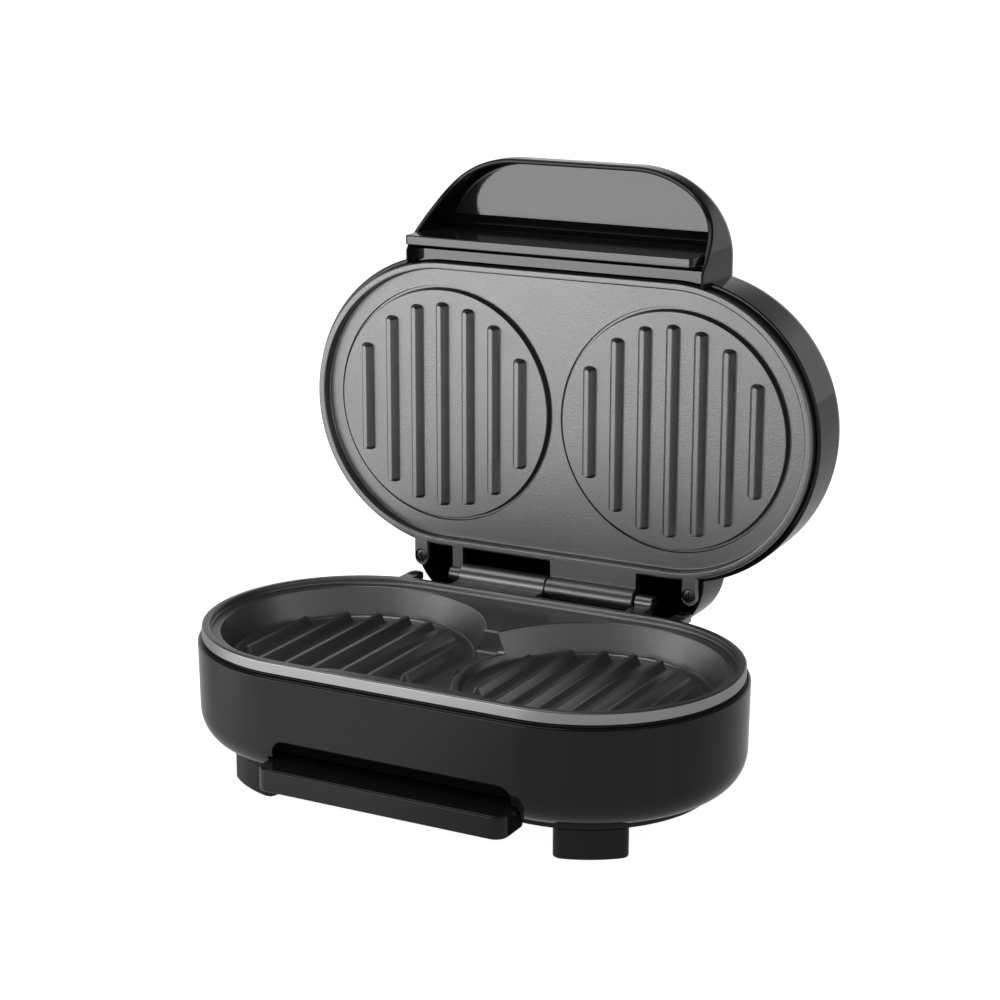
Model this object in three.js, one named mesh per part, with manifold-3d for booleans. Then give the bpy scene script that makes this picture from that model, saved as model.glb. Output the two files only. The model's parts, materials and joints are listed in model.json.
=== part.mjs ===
// Double burger maker: two round grill wells in a low base, a hinged lid and a slide-out drip tray.
// Millimetres, +Z up. The object stands on z = 0, with its front towards -Y and its lid open.

import * as THREE from 'three';
import { mergeVertices } from 'three/addons/utils/BufferGeometryUtils.js';
import Module from 'manifold-3d';

const wasm = await Module();
wasm.setup();

// Clearances, and the run of every cut past the face it opens
const seatGap = 0.3;
const slideGap = 0.6;
const overrun = 1;

// Segments of the round outlines
const endSegments = 18;
const wellSegments = 40;
const smallSegments = 12;
const cornerSegments = 4;
const loopSteps = 40;

// Plate outline, shared by both plates: a straight-sided oval with round ends
const plateRadius = 68.6;
const plateHalfStraight = 58.4;
const plateRimWidth = 3.6;
const plateSkirtDepth = 5.4;
const plateCasting = 3;

// Wells of the lower plate
const wellShift = 0.6;
const wellLedgeWidth = 5.1;
const wellDraft = 5.2;
const wellCentre = plateHalfStraight + wellShift;
const wellTopRadius = plateRadius - plateRimWidth - wellLedgeWidth;
const wellFloorRadius = wellTopRadius - wellDraft;
const wellLedgeDepth = 3.2;
const wellFloorDepth = 16.9;

// Grill ribs, as many to a well as their circle holds, their ends on that circle
const ribPitch = 13.66;
const ribTopWidth = 2.2;
const ribBaseWidth = 6.7;
const ribHeight = 4.5;
const ribEndInset = 6.55;
const ribCircleRadius = wellFloorRadius - ribEndInset;
const ribCount = 2 * Math.floor((ribCircleRadius - ribTopWidth) / ribPitch) + 1;

// Grease channel between the wells, and the sump that drains it
const channelBackY = 22.4;
const channelFrontInset = 10.5;
const channelFrontY = channelFrontInset + plateRimWidth - plateRadius;
const channelLandDepth = 14;
const ridgeInset = 0.6;
const ridgeRadius = wellTopRadius - ridgeInset;
const sumpDepth = 17.4;
const sumpBackY = -4;
const sumpInset = 2.7;
const sumpInnerRadius = wellFloorRadius - sumpInset;
const sumpNotchInset = 8.5;
const sumpNotchY = channelFrontY + sumpNotchInset;
const sumpNotchWidth = 8;
const drainInset = 12.5;
const drainY = channelFrontY + drainInset;
const drainHoleRadius = 1.8;
const drainHolePitch = 5;
const drainHoleCount = 3;

// Upper plate: a flat face with a raised disc over each well
const upperFaceDepth = 4.7;
const upperDiscInset = 13.6;
const upperDiscRadius = plateRadius - upperDiscInset;
const upperDiscDraft = 1.2;
const upperDiscDepth = 1.4;
const upperRibProud = 1.5;
const upperCastingDepth = 8;
const upperPocketInset = 2.6;

// Screw tabs at the back of both plates, and their screws
const tabOffset = 11.8;
const tabX = plateHalfStraight + tabOffset;
const tabWidth = 7.4;
const tabReach = 11.3;
const tabEndY = plateRadius + tabReach;
const tabRootInset = 8.6;
const tabRootY = plateRadius - tabRootInset;
const tabThickness = 3.5;
const tabScrewInset = 4.9;
const tabScrewY = tabEndY - tabScrewInset;
const screwRadius = 1.5;
const screwHeadRadius = 3;
const screwHeadHeight = 1.6;
const screwHeadProud = 0.6;
const screwHeadSunk = 0.4;
const screwLength = 14;
const bossRadius = 4;

// Hinge: knuckles cast on both plates, turning on one steel pin
const hingeReach = 12.8;
const hingeY = plateRadius + hingeReach;
const hingeZ = 0.8;
const lidGap = 1;
const barrelRadius = 4.5;
const webThickness = 4.4;
const pinRadius = 1.6;
const pinInset = 0.5;
const knuckleGap = 0.4;
const hingeInset = 5.2;
const hingeHalfLength = plateHalfStraight - hingeInset;
const smallKnuckleLength = 8.8;
const smallKnuckleX = hingeHalfLength - smallKnuckleLength;
const lidKnuckleLength = 6.3;
const lidKnuckleX = hingeHalfLength - lidKnuckleLength;
const hingeMiddleX = -1.3;
const openAngle = Math.PI / 2;

// Base housing: an oval tub with a bulge behind it for the hinge
const housingProud = 1.9;
const housingRadius = plateRadius + housingProud;
const housingTopZ = -6.5;
const housingTurnZ = -37.3;
const housingEndZ = -51.7;
const housingDraft = 0.4;
const housingTurnIn = 12;
const housingWall = 2.5;
const plateSeatWidth = 2.8;
const plateSeatDepth = 3.3;
const bulgeMargin = 5;
const bulgeHalfWidth = tabX + bulgeMargin;
const bulgeReach = 3.6;
const bulgeBackY = hingeY + bulgeReach;
const bulgeCorner = 16;
const bottomLedge = 15.5;
const bottomOpeningRadius = housingRadius - bottomLedge;

// Recess in the front of the housing, with the tray slot behind it
const trayMargin = 1.6;
const trayGripHalfWidth = plateHalfStraight + trayMargin;
const recessMargin = 1;
const recessHalfWidth = trayGripHalfWidth + recessMargin;
const recessTopZ = -35.6;
const recessDepth = 5;
const recessBackY = recessDepth - housingRadius;
const recessCorner = 6;
const recessWall = 2;
const slotTopZ = -41.5;

// Bottom cover with its screws, posts and feet
const coverInset = 13.6;
const coverRadius = housingRadius - coverInset;
const coverThickness = 3.5;
const coverScrewInset = 11.3;
const coverScrewX = plateHalfStraight + coverRadius - coverScrewInset;
const coverBossRadius = 4;
const coverBossTopZ = -31.5;
const postOffset = 21.6;
const postX = plateHalfStraight + postOffset;
const postY = 25;
const postRadius = 3.5;
const footHeight = 14.2;
const footInset = 0.6;
const footOuterRadius = coverRadius - footInset;
const footDepth = 17;
const footStartAngle = THREE.MathUtils.degToRad(44);
const footEndAngle = THREE.MathUtils.degToRad(79);
const footCorner = 4;
const padInset = 2;
const padProud = 0.8;
const padThickness = 2.5;

// Drip tray and the channel it slides in
const trayProud = 10.5;
const trayFrontY = -housingRadius - trayProud;
const trayGripCorner = 5.9;
const trayGripSunk = 7.5;
const trayGripBackY = recessBackY + trayGripSunk;
const trayGripWall = 2.4;
const trayDeckZ = -43.9;
const trayGripDepth = 10.4;
const trayBodyInset = 5.6;
const trayBodyHalfWidth = trayGripHalfWidth - trayBodyInset;
const trayBodyBackY = -10;
const trayBodyDepth = 7.4;
const trayBodyCorner = 4;
const trayWall = 1.6;
const channelWall = 1.5;

// Inner fittings of the base
const elementRadius = 3.25;
const elementGapHalf = 16;
const reflectorInset = 6.6;
const reflectorRadius = plateRadius - reflectorInset;
const reflectorThickness = 0.5;
const reflectorDrop = 2;
const drainTubeRadius = 9;
const drainTubeWall = 1.5;
const loopDrainGap = 1.75;
const lowerLoopRadius = -drainY - drainTubeRadius - elementRadius - loopDrainGap;
const thermostatOffset = 18.6;
const thermostatY = channelBackY - thermostatOffset;
const thermostatRadius = 8;
const thermostatHeight = 7;
const fuseInset = 5.6;
const fuseY = channelBackY - fuseInset;
const fuseLength = 14;
const fuseRadius = 2.4;
const terminalY = 30;
const terminalWidth = 32;
const terminalDepth = 16;
const terminalHeight = 12;
const glandX = -45;
const glandZ = -30;
const glandRadius = 5.6;
const glandFlangeRadius = 8;
const glandFlangeThickness = 2.2;
const glandBoreRadius = 3.4;

// Lid shell, in the lid's own frame: x across, y away from the hinge, z out of the cooking face
const lidProud = 2.4;
const lidRadius = plateRadius + lidProud;
const lidFrontZ = -4.6;
const lidTurnZ = -28;
const lidBackZ = -40;
const lidDraft = 0.5;
const lidTurnIn = 12;
const lidWall = 1.6;
const apronMargin = 5.3;
const apronHalfWidth = tabX + apronMargin;
const apronReach = 14.6;
const apronEndY = -hingeY - apronReach;
const apronCorner = 26;

// Hood over the handle, part of the lid shell
const hoodHalfWidth = 75.2;
const hoodReach = 47.4;
const hoodTopY = plateRadius + hoodReach;
const hoodCornerX = 45;
const hoodCornerY = 40;
const hoodFootInset = 23.6;
const hoodFootY = plateRadius - hoodFootInset;
const hoodWall = 2.4;
const hoodFrontZ = 4;
const hoodRimZ = -20;
const neckReach = 5;
const neckTopY = plateRadius + neckReach;
const hoodRimStep = 0.4;
const hoodRimStartY = neckTopY + hoodRimStep;
const hoodRimInset = 10;
const hoodRimEndY = hoodTopY - hoodRimInset;
const hoodRimBend = 12;
const hoodRimBendZ = -7;
const hoodRimLevel = 14;
const hoodRimSteps = 12;
const hoodTurnZ = -31;
const hoodPanelZ = -37.2;
const neckFrontZ = -4;

// Handle bar across the mouth of the hood
const barFrontZ = 9.6;
const barGap = 3.5;
const barBottomY = neckTopY + barGap;
const barThickness = 4.4;
const barTopY = barBottomY + barThickness;
const barSlack = 0.4;
const barHalfWidth = hoodHalfWidth - hoodWall - barSlack;
const barChamfer = 1.6;

// Lights in the lid, and its inner fittings
const lensRadius = 3.5;
const lensThickness = 2;
const lensX = 10;
const lensInset = 16.6;
const lensY = plateRadius - lensInset;
const lampRadius = 2.4;
const lampLength = 9;
const upperLoopRadius = 36;

// Levels and places that follow from the sizes above
const plateUndersideZ = -wellFloorDepth - plateCasting;
const coverTopZ = housingEndZ - seatGap;
const coverBottomZ = coverTopZ - coverThickness;
const footTopZ = coverBottomZ - seatGap;
const floorZ = footTopZ - footHeight;
const reflectorTopZ = plateUndersideZ - seatGap - 2 * elementRadius - reflectorDrop;
const upperReflectorZ = -upperCastingDepth - seatGap - 2 * elementRadius - reflectorDrop;
const drainTopZ = plateUndersideZ - seatGap;
const channelTopZ = slotTopZ + channelWall;
const trayFloorZ = trayDeckZ - trayBodyDepth;
const hingeLidZ = lidGap - hingeZ;
const middleY = (hingeY + hingeLidZ - lidBackZ + trayFrontY) / 2;
const quarter = Math.PI / 2;

// Finishes
const finish = (color, roughness, metalness) => ({ color, roughness, metalness });
const glossBlack = finish(0x17171a, 0.22, 0);
const satinBlack = finish(0x1d1d1f, 0.5, 0);
const coatedPlate = finish(0x4c4c4e, 0.45, 0.4);
const steel = finish(0x9a9a9c, 0.35, 1);
const bareAluminium = finish(0xb9b9bb, 0.4, 1);
const rubber = finish(0x19191a, 0.85, 0);
const ceramic = finish(0xd8d2c4, 0.7, 0);
const redLens = finish(0xa02018, 0.15, 0);
const greenLens = finish(0x1f8a3c, 0.15, 0);

// Closed outlines, anticlockwise
const arc = (cx, cy, rx, ry, from, to, steps) =>
  Array.from({ length: steps + 1 }, (_, i) => {
    const angle = from + (to - from) * (i / steps);
    return new THREE.Vector2(cx + rx * Math.cos(angle), cy + ry * Math.sin(angle));
  });

const circle = (cx, cy, radius, segments = smallSegments) =>
  arc(cx, cy, radius, radius, 0, 4 * quarter * (1 - 1 / segments), segments - 1);

const oval = (radius) => [
  ...arc(plateHalfStraight, 0, radius, radius, -quarter, quarter, endSegments),
  ...arc(-plateHalfStraight, 0, radius, radius, quarter, 3 * quarter, endSegments),
];

const box2 = (x0, y0, x1, y1) => [
  new THREE.Vector2(Math.min(x0, x1), Math.min(y0, y1)),
  new THREE.Vector2(Math.max(x0, x1), Math.min(y0, y1)),
  new THREE.Vector2(Math.max(x0, x1), Math.max(y0, y1)),
  new THREE.Vector2(Math.min(x0, x1), Math.max(y0, y1)),
];

const roundedBox = (x0, y0, x1, y1, corner, steps = cornerSegments) =>
  box2(x0, y0, x1, y1).flatMap((p, i) => {
    const cx = p.x + (i === 1 || i === 2 ? -corner : corner);
    const cy = p.y + (i > 1 ? -corner : corner);
    return arc(cx, cy, corner, corner, (i + 2) * quarter, (i + 3) * quarter, steps);
  });

// A closed body through outlines of equal counts, each at its own height
function stack(layers) {
  const sorted = [...layers].sort((a, b) => a.z - b.z);
  const count = sorted[0].outline.length;
  const positions = sorted.flatMap(({ outline, z }) => outline.flatMap((p) => [p.x, p.y, z]));
  const index = [];
  for (let layer = 0; layer + 1 < sorted.length; layer += 1) {
    for (let i = 0; i < count; i += 1) {
      const a = layer * count + i;
      const b = layer * count + (i + 1) % count;
      index.push(a, b, b + count, a, b + count, a + count);
    }
  }
  const top = (sorted.length - 1) * count;
  for (const [a, b, c] of THREE.ShapeUtils.triangulateShape(sorted[0].outline, [])) {
    index.push(a, c, b);
  }
  for (const [a, b, c] of THREE.ShapeUtils.triangulateShape(sorted.at(-1).outline, [])) {
    index.push(top + a, top + b, top + c);
  }
  const geometry = new THREE.BufferGeometry();
  geometry.setAttribute('position', new THREE.Float32BufferAttribute(positions, 3));
  geometry.setIndex(index);
  return geometry;
}

const prism = (outline, z0, z1) => stack([{ outline, z: z0 }, { outline, z: z1 }]);
const block = (x0, y0, z0, x1, y1, z1) => prism(box2(x0, y0, x1, y1), z0, z1);
const disc = (x, y, radius, z0, z1) => prism(circle(x, y, radius), z0, z1);

// Prisms along the other axes: an outline in x and z runs along y, one in y and z runs along x
const prismY = (outline, y0, y1) => prism(outline, -y1, -y0).rotateX(quarter);
const prismX = (outline, x0, x1) => prism(outline, x0, x1).rotateX(quarter).rotateZ(quarter);
const rodX = (radius, x0, x1, y, z) => prismX(circle(y, z, radius), x0, x1);

// Joins and cuts
function solid(source) {
  if (source instanceof wasm.Manifold) return source;
  const geometry = source.clone();
  geometry.deleteAttribute('normal');
  geometry.deleteAttribute('uv');
  const merged = mergeVertices(geometry);
  return new wasm.Manifold(new wasm.Mesh({
    numProp: 3,
    vertProperties: new Float32Array(merged.attributes.position.array),
    triVerts: new Uint32Array(merged.index.array),
  }));
}

const join = (...pieces) => pieces.flat().map(solid).reduce((a, b) => a.add(b));
const cut = (body, ...pieces) => pieces.flat().map(solid).reduce((a, b) => a.subtract(b), solid(body));

function geometryOf(source) {
  const { vertProperties, triVerts } = solid(source).getMesh();
  const geometry = new THREE.BufferGeometry();
  geometry.setAttribute('position', new THREE.Float32BufferAttribute(vertProperties, 3));
  geometry.setIndex(Array.from(triVerts));
  geometry.computeVertexNormals();
  return geometry;
}

const bothSides = (make) => [make(1), make(-1)];
const fourCorners = (make) => [make(1, 1), make(-1, 1), make(-1, -1), make(1, -1)];

// A deep moulding: walls with a little draft, then a rounded turn into a flat end.
// outline(inset) gives its outline drawn in by that much.
function moulding({ outline, openZ, turnZ, endZ, draft, turnIn, inset }) {
  const layers = [{ outline: outline(inset), z: openZ }];
  for (let step = 0; step <= cornerSegments; step += 1) {
    const angle = quarter * step / cornerSegments;
    layers.push({
      outline: outline(inset + draft + turnIn * (1 - Math.cos(angle))),
      z: turnZ + (endZ - turnZ) * Math.sin(angle),
    });
  }
  return stack(layers);
}

// Ribs of one plate, from a root inside the casting up to their narrower tops
function ribs(rootZ, topZ) {
  const slope = (ribBaseWidth - ribTopWidth) / 2;
  return bothSides((side) => Array.from({ length: ribCount }, (_, i) => {
    const offset = (i - (ribCount - 1) / 2) * ribPitch;
    const halfLength = Math.sqrt(ribCircleRadius ** 2 - offset ** 2);
    const x = side * wellCentre + offset;
    const ring = (halfWidth) => [
      ...arc(x, halfLength - ribTopWidth / 2, halfWidth, halfWidth, 0, 2 * quarter, cornerSegments),
      ...arc(x, ribTopWidth / 2 - halfLength, halfWidth, halfWidth, -2 * quarter, 0, cornerSegments),
    ];
    return stack([
      { outline: ring(ribTopWidth / 2 + slope), z: rootZ },
      { outline: ring(ribTopWidth / 2), z: topZ },
    ]);
  })).flat();
}

// A hinge knuckle: a barrel on the axis, and a web out to the plate's straight side.
// along is the direction of the hinge in the plate's frame, axisZ its level there.
function knuckle(x0, x1, along, axisZ) {
  return [
    rodX(barrelRadius, x0, x1, along * hingeY, axisZ),
    block(x0, along * (plateRadius - plateRimWidth / 2), -webThickness, x1, along * hingeY, 0),
  ];
}

const pinHole = (along, axisZ) => rodX(pinRadius + seatGap,
  -hingeHalfLength - overrun, hingeHalfLength + overrun, along * hingeY, axisZ);

// Screw tabs: tongues with round ends beyond the plate's edge
function tab(side, along) {
  const endCentreY = along * (tabEndY - tabWidth / 2);
  return join(
    block(side * tabX - tabWidth / 2, along * tabRootY, -tabThickness,
      side * tabX + tabWidth / 2, endCentreY, 0),
    disc(side * tabX, endCentreY, tabWidth / 2, -tabThickness, 0),
  );
}

const tabHole = (side, along, headZ) => [
  disc(side * tabX, along * tabScrewY, screwRadius + seatGap, -tabThickness - overrun, overrun),
  disc(side * tabX, along * tabScrewY, screwHeadRadius + seatGap,
    headZ - screwHeadHeight - seatGap, overrun),
];

// A pan-head screw along z, the top of its head at headZ
const screw = (x, y, headZ, length = screwLength) => join(
  disc(x, y, screwHeadRadius, headZ - screwHeadHeight, headZ),
  disc(x, y, screwRadius, headZ - length, headZ - screwHeadHeight / 2),
);

const screwHole = (x, y, z0, z1) => disc(x, y, screwRadius + seatGap, z0, z1);

function lowerPlate() {
  const well = (side, grow, topZ, bottomZ) => stack([
    { outline: circle(side * wellCentre, 0, wellTopRadius + grow, wellSegments), z: topZ },
    { outline: circle(side * wellCentre, 0, wellFloorRadius + grow, wellSegments), z: bottomZ },
  ]);
  const frontHalfWidth = wellCentre - Math.sqrt(wellTopRadius ** 2 - channelFrontY ** 2);
  const sump = cut(
    block(-frontHalfWidth, channelFrontY, -sumpDepth, frontHalfWidth, sumpBackY, 0),
    prism(circle(wellCentre, 0, ridgeRadius, wellSegments), -plateRadius, plateRadius),
    prism(circle(-wellCentre, 0, sumpInnerRadius, wellSegments), -plateRadius, plateRadius),
  );
  const drainHoles = Array.from({ length: drainHoleCount }, (_, i) => disc(
    (i - (drainHoleCount - 1) / 2) * drainHolePitch, drainY, drainHoleRadius,
    plateUndersideZ - overrun, 0));
  const body = join(
    prism(oval(plateRadius), -plateSkirtDepth, 0),
    bothSides((side) => well(side, plateCasting, -wellLedgeDepth, plateUndersideZ)),
    block(-frontHalfWidth, channelFrontY - plateCasting, plateUndersideZ,
      frontHalfWidth, channelBackY + plateCasting, -wellLedgeDepth),
    bothSides((side) => tab(side, 1)),
    knuckle(-lidKnuckleX + knuckleGap, hingeMiddleX, 1, hingeZ),
    knuckle(smallKnuckleX, hingeHalfLength, 1, hingeZ),
  );
  return join(
    cut(body,
      prism(oval(plateRadius - plateRimWidth), -wellLedgeDepth, overrun),
      bothSides((side) => well(side, 0, -wellLedgeDepth, -wellFloorDepth)),
      block(-frontHalfWidth, channelFrontY, -channelLandDepth, frontHalfWidth, channelBackY, 0),
      sump,
      block(0, sumpNotchY - sumpNotchWidth / 2, -wellFloorDepth,
        wellCentre / 2, sumpNotchY + sumpNotchWidth / 2, 0),
      drainHoles,
      pinHole(1, hingeZ),
      bothSides((side) => tabHole(side, 1, screwHeadProud)).flat()),
    ribs(-wellFloorDepth - plateCasting / 2, -wellFloorDepth + ribHeight),
  );
}

function upperPlate() {
  const raisedDisc = (side) => stack([
    {
      outline: circle(side * wellCentre, 0, upperDiscRadius + upperDiscDraft, wellSegments),
      z: -upperFaceDepth - overrun,
    },
    { outline: circle(side * wellCentre, 0, upperDiscRadius, wellSegments), z: -upperDiscDepth },
  ]);
  const pocket = (side) => prism(
    circle(side * wellCentre, 0, upperDiscRadius - upperPocketInset, wellSegments),
    -upperCastingDepth - overrun, -upperDiscDepth - plateCasting);
  const body = join(
    prism(oval(plateRadius), -upperCastingDepth, 0),
    bothSides((side) => tab(side, -1)),
    knuckle(-hingeHalfLength, -lidKnuckleX, -1, hingeLidZ),
    knuckle(hingeMiddleX + knuckleGap, smallKnuckleX - knuckleGap, -1, hingeLidZ),
  );
  return join(
    cut(body,
      prism(oval(plateRadius - plateRimWidth), -upperFaceDepth, overrun),
      bothSides(pocket),
      pinHole(-1, hingeLidZ),
      bothSides((side) => tabHole(side, -1, -screwHeadSunk)).flat()),
    cut(join(bothSides(raisedDisc)), bothSides(pocket)),
    ribs(-upperDiscDepth - overrun, upperRibProud),
  );
}

// Base housing
const bulgeOutline = (inset) => roundedBox(-bulgeHalfWidth + inset, inset,
  bulgeHalfWidth - inset, bulgeBackY - inset, bulgeCorner - inset);

const housingBody = (inset, topZ, bulgeTopZ, endZ) => {
  const shape = { turnZ: housingTurnZ, endZ, draft: housingDraft, turnIn: housingTurnIn, inset };
  return [
    moulding({ ...shape, outline: (drawn) => oval(housingRadius - drawn), openZ: topZ }),
    moulding({ ...shape, outline: bulgeOutline, openZ: bulgeTopZ }),
  ];
};

const recessOutline = (grow) => roundedBox(-recessHalfWidth - grow, floorZ,
  recessHalfWidth + grow, recessTopZ + grow, recessCorner + grow);

function baseHousing() {
  const outer = join(housingBody(0, housingTopZ, housingTopZ, housingEndZ));
  const endX = plateHalfStraight + housingRadius - housingWall;
  const liner = solid(prismY(recessOutline(recessWall),
    -housingRadius - overrun, recessBackY + recessWall));
  const seatRing = cut(
    prism(oval(housingRadius - housingWall + seatGap), -plateSkirtDepth - seatGap - plateSeatDepth,
      -plateSkirtDepth - seatGap),
    prism(oval(housingRadius - housingWall - plateSeatWidth), housingTurnZ, 0));
  const shell = join(
    cut(outer,
      housingBody(housingWall, 0, housingTopZ - housingWall, housingEndZ + housingWall),
      prism(oval(bottomOpeningRadius), housingEndZ - overrun, housingEndZ + housingWall + overrun)),
    liner.intersect(outer),
    seatRing,
    bothSides((side) => disc(side * coverScrewX, 0, coverBossRadius, housingEndZ, coverBossTopZ)),
    bothSides((side) => block(side * coverScrewX, -housingWall / 2, housingTurnZ,
      side * endX, housingWall / 2, coverBossTopZ)),
    bothSides((side) => disc(side * tabX, tabScrewY, bossRadius, housingTopZ - housingWall,
      -tabThickness - seatGap)),
  );
  return cut(shell,
    prismY(recessOutline(0), -housingRadius - overrun, recessBackY),
    block(-trayBodyHalfWidth - slideGap, recessBackY - overrun, floorZ,
      trayBodyHalfWidth + slideGap, -coverRadius / 2, slotTopZ),
    block(-trayGripHalfWidth - slideGap, recessBackY - overrun, floorZ,
      trayGripHalfWidth + slideGap, trayGripBackY + slideGap, slotTopZ),
    bothSides((side) => screwHole(side * coverScrewX, 0, housingEndZ - overrun,
      coverTopZ + screwLength + overrun)),
    bothSides((side) => screwHole(side * tabX, tabScrewY, -screwLength - overrun, 0)),
    glandHole());
}

const glandHole = () => prismY(circle(glandX, glandZ, glandRadius + seatGap),
  bulgeBackY - housingTurnIn, bulgeBackY + overrun);

// A stepped bush in the back wall, with a flange outside and a bore for a mains lead
const cordGland = () => cut(
  join(
    prismY(circle(glandX, glandZ, glandFlangeRadius), bulgeBackY + seatGap,
      bulgeBackY + seatGap + glandFlangeThickness),
    prismY(circle(glandX, glandZ, glandRadius), bulgeBackY - 2 * housingWall,
      bulgeBackY + seatGap + glandFlangeThickness / 2)),
  prismY(circle(glandX, glandZ, glandBoreRadius), bulgeBackY - housingTurnIn,
    bulgeBackY + seatGap + glandFlangeThickness + overrun));

// Bottom cover, with the posts that carry the reflector
const footCentreAngle = (footStartAngle + footEndAngle) / 2;
const footScrewRadius = footOuterRadius - footDepth / 2;
const footPlaces = fourCorners((sideX, sideY) => ({
  sideX,
  angle: sideX > 0 ? sideY * footCentreAngle : 2 * quarter - sideY * footCentreAngle,
}));
const footScrewPlace = ({ sideX, angle }) => [
  sideX * plateHalfStraight + footScrewRadius * Math.cos(angle),
  footScrewRadius * Math.sin(angle),
];

const bottomCover = () => cut(
  join(
    prism(oval(coverRadius), coverBottomZ, coverTopZ),
    fourCorners((sideX, sideY) => disc(sideX * postX, sideY * postY, postRadius,
      coverTopZ - coverThickness / 2, reflectorTopZ - reflectorThickness - seatGap))),
  bothSides((side) => screwHole(side * coverScrewX, 0, coverBottomZ - overrun, coverTopZ + overrun)),
  bothSides((side) => disc(side * coverScrewX, 0, screwHeadRadius + seatGap, coverBottomZ - overrun,
    coverBottomZ + screwHeadHeight + seatGap)),
  footPlaces.map((place) => screwHole(...footScrewPlace(place),
    coverBottomZ - overrun, coverTopZ + overrun)));

// A foot's outline: a slice of a ring about the end centre, with rounded corners
function footOutline({ sideX, angle }, inset) {
  const half = (footEndAngle - footStartAngle) / 2;
  const corner = footCorner - inset;
  const outer = footOuterRadius - footCorner;
  const inner = footOuterRadius - footDepth + footCorner;
  const turn = (radius) => half - Math.asin(footCorner / radius);
  const at = (radius, direction, from, to) => arc(
    sideX * plateHalfStraight + radius * Math.cos(direction), radius * Math.sin(direction),
    corner, corner, from, to, cornerSegments);
  const sweep = (radius, from, to) =>
    arc(sideX * plateHalfStraight, 0, radius, radius, from, to, cornerSegments);
  const outerTurn = turn(outer);
  const innerTurn = turn(inner);
  return [
    ...at(outer, angle - outerTurn, angle - half - quarter, angle - outerTurn),
    ...sweep(outer + corner, angle - outerTurn, angle + outerTurn).slice(1, -1),
    ...at(outer, angle + outerTurn, angle + outerTurn, angle + half + quarter),
    ...at(inner, angle + innerTurn, angle + half + quarter, angle + innerTurn + 2 * quarter),
    ...sweep(inner - corner, angle + innerTurn, angle - innerTurn).slice(1, -1),
    ...at(inner, angle - innerTurn, angle - innerTurn + 2 * quarter, angle - half + 3 * quarter),
  ];
}

const foot = (place) => cut(
  prism(footOutline(place, 0), floorZ + padProud, footTopZ),
  prism(footOutline(place, padInset - seatGap), floorZ, floorZ + padThickness + seatGap),
  screwHole(...footScrewPlace(place), footTopZ - footHeight / 2, footTopZ + overrun));

const footPad = (place) => prism(footOutline(place, padInset), floorZ, floorZ + padThickness);

const footScrew = (place) => screw(...footScrewPlace(place), coverTopZ + screwHeadHeight,
  coverThickness + screwHeadHeight + footHeight / 3);

// Drip tray: a shallow pan behind a deep grip that is hollow from below
const gripOutline = (inset) => roundedBox(-trayGripHalfWidth + inset, trayFrontY + inset,
  trayGripHalfWidth - inset, trayGripBackY - inset, trayGripCorner - inset);

const dripTray = () => {
  const pan = (inset, bottomZ, topZ) => prism(roundedBox(-trayBodyHalfWidth + inset,
    trayGripBackY - trayGripCorner + inset, trayBodyHalfWidth - inset, trayBodyBackY - inset,
    trayBodyCorner - inset), bottomZ, topZ);
  const gripBottomZ = trayDeckZ - trayGripDepth;
  const grip = cut(
    prism(gripOutline(0), gripBottomZ, trayDeckZ),
    prism(gripOutline(trayGripWall), gripBottomZ - overrun, trayDeckZ - trayGripWall));
  return join(cut(join(grip, pan(0, trayFloorZ, trayDeckZ)), pan(trayWall, trayFloorZ + trayWall, 0)));
};

// Channel over the tray, standing on the bottom cover, with a round hole under the drain
const trayChannel = () => {
  const halfWidth = trayBodyHalfWidth + slideGap;
  const frontY = slideGap - bottomOpeningRadius;
  const backY = trayBodyBackY + slideGap;
  return cut(
    block(-halfWidth - channelWall, frontY, coverTopZ + seatGap, halfWidth + channelWall,
      backY + channelWall, channelTopZ),
    block(-halfWidth, frontY - overrun, coverTopZ, halfWidth, backY, slotTopZ),
    disc(0, drainY, drainTubeRadius + seatGap, slotTopZ - overrun, channelTopZ + overrun));
};

const drainTube = () => cut(
  disc(0, drainY, drainTubeRadius, slotTopZ, drainTopZ),
  disc(0, drainY, drainTubeRadius - drainTubeWall, slotTopZ - overrun, drainTopZ + overrun));

// Heating element: a round sheathed rod bent into an open oval loop, its gap on one long side
class OvalPath extends THREE.Curve {
  constructor(radius, z, along) {
    super();
    Object.assign(this, { radius, z, along });
  }

  getPoint(share) {
    const { radius, z, along } = this;
    const side = plateHalfStraight - elementGapHalf;
    const turn = 2 * quarter * radius;
    const total = 2 * side + 2 * turn + 2 * plateHalfStraight;
    let distance = share * total;
    const point = (x, y) => new THREE.Vector3(x, along * y, z);
    if (distance <= side) return point(elementGapHalf + distance, radius);
    distance -= side;
    if (distance <= turn) {
      const angle = quarter - distance / radius;
      return point(plateHalfStraight + radius * Math.cos(angle), radius * Math.sin(angle));
    }
    distance -= turn;
    if (distance <= 2 * plateHalfStraight) return point(plateHalfStraight - distance, -radius);
    distance -= 2 * plateHalfStraight;
    if (distance <= turn) {
      const angle = -quarter - distance / radius;
      return point(-plateHalfStraight + radius * Math.cos(angle), radius * Math.sin(angle));
    }
    distance -= turn;
    return point(-plateHalfStraight + distance, radius);
  }
}

const heatingElement = (radius, z, along) => new THREE.ExtrudeGeometry(
  new THREE.Shape(circle(0, 0, elementRadius, smallSegments / 2)),
  { extrudePath: new OvalPath(radius, z, along), steps: loopSteps, curveSegments: 1 });

const reflector = (topZ) => prism(oval(reflectorRadius), topZ - reflectorThickness, topZ);
const lowerReflector = () => cut(reflector(reflectorTopZ),
  disc(0, drainY, drainTubeRadius + seatGap, reflectorTopZ - overrun, reflectorTopZ + overrun));

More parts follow.
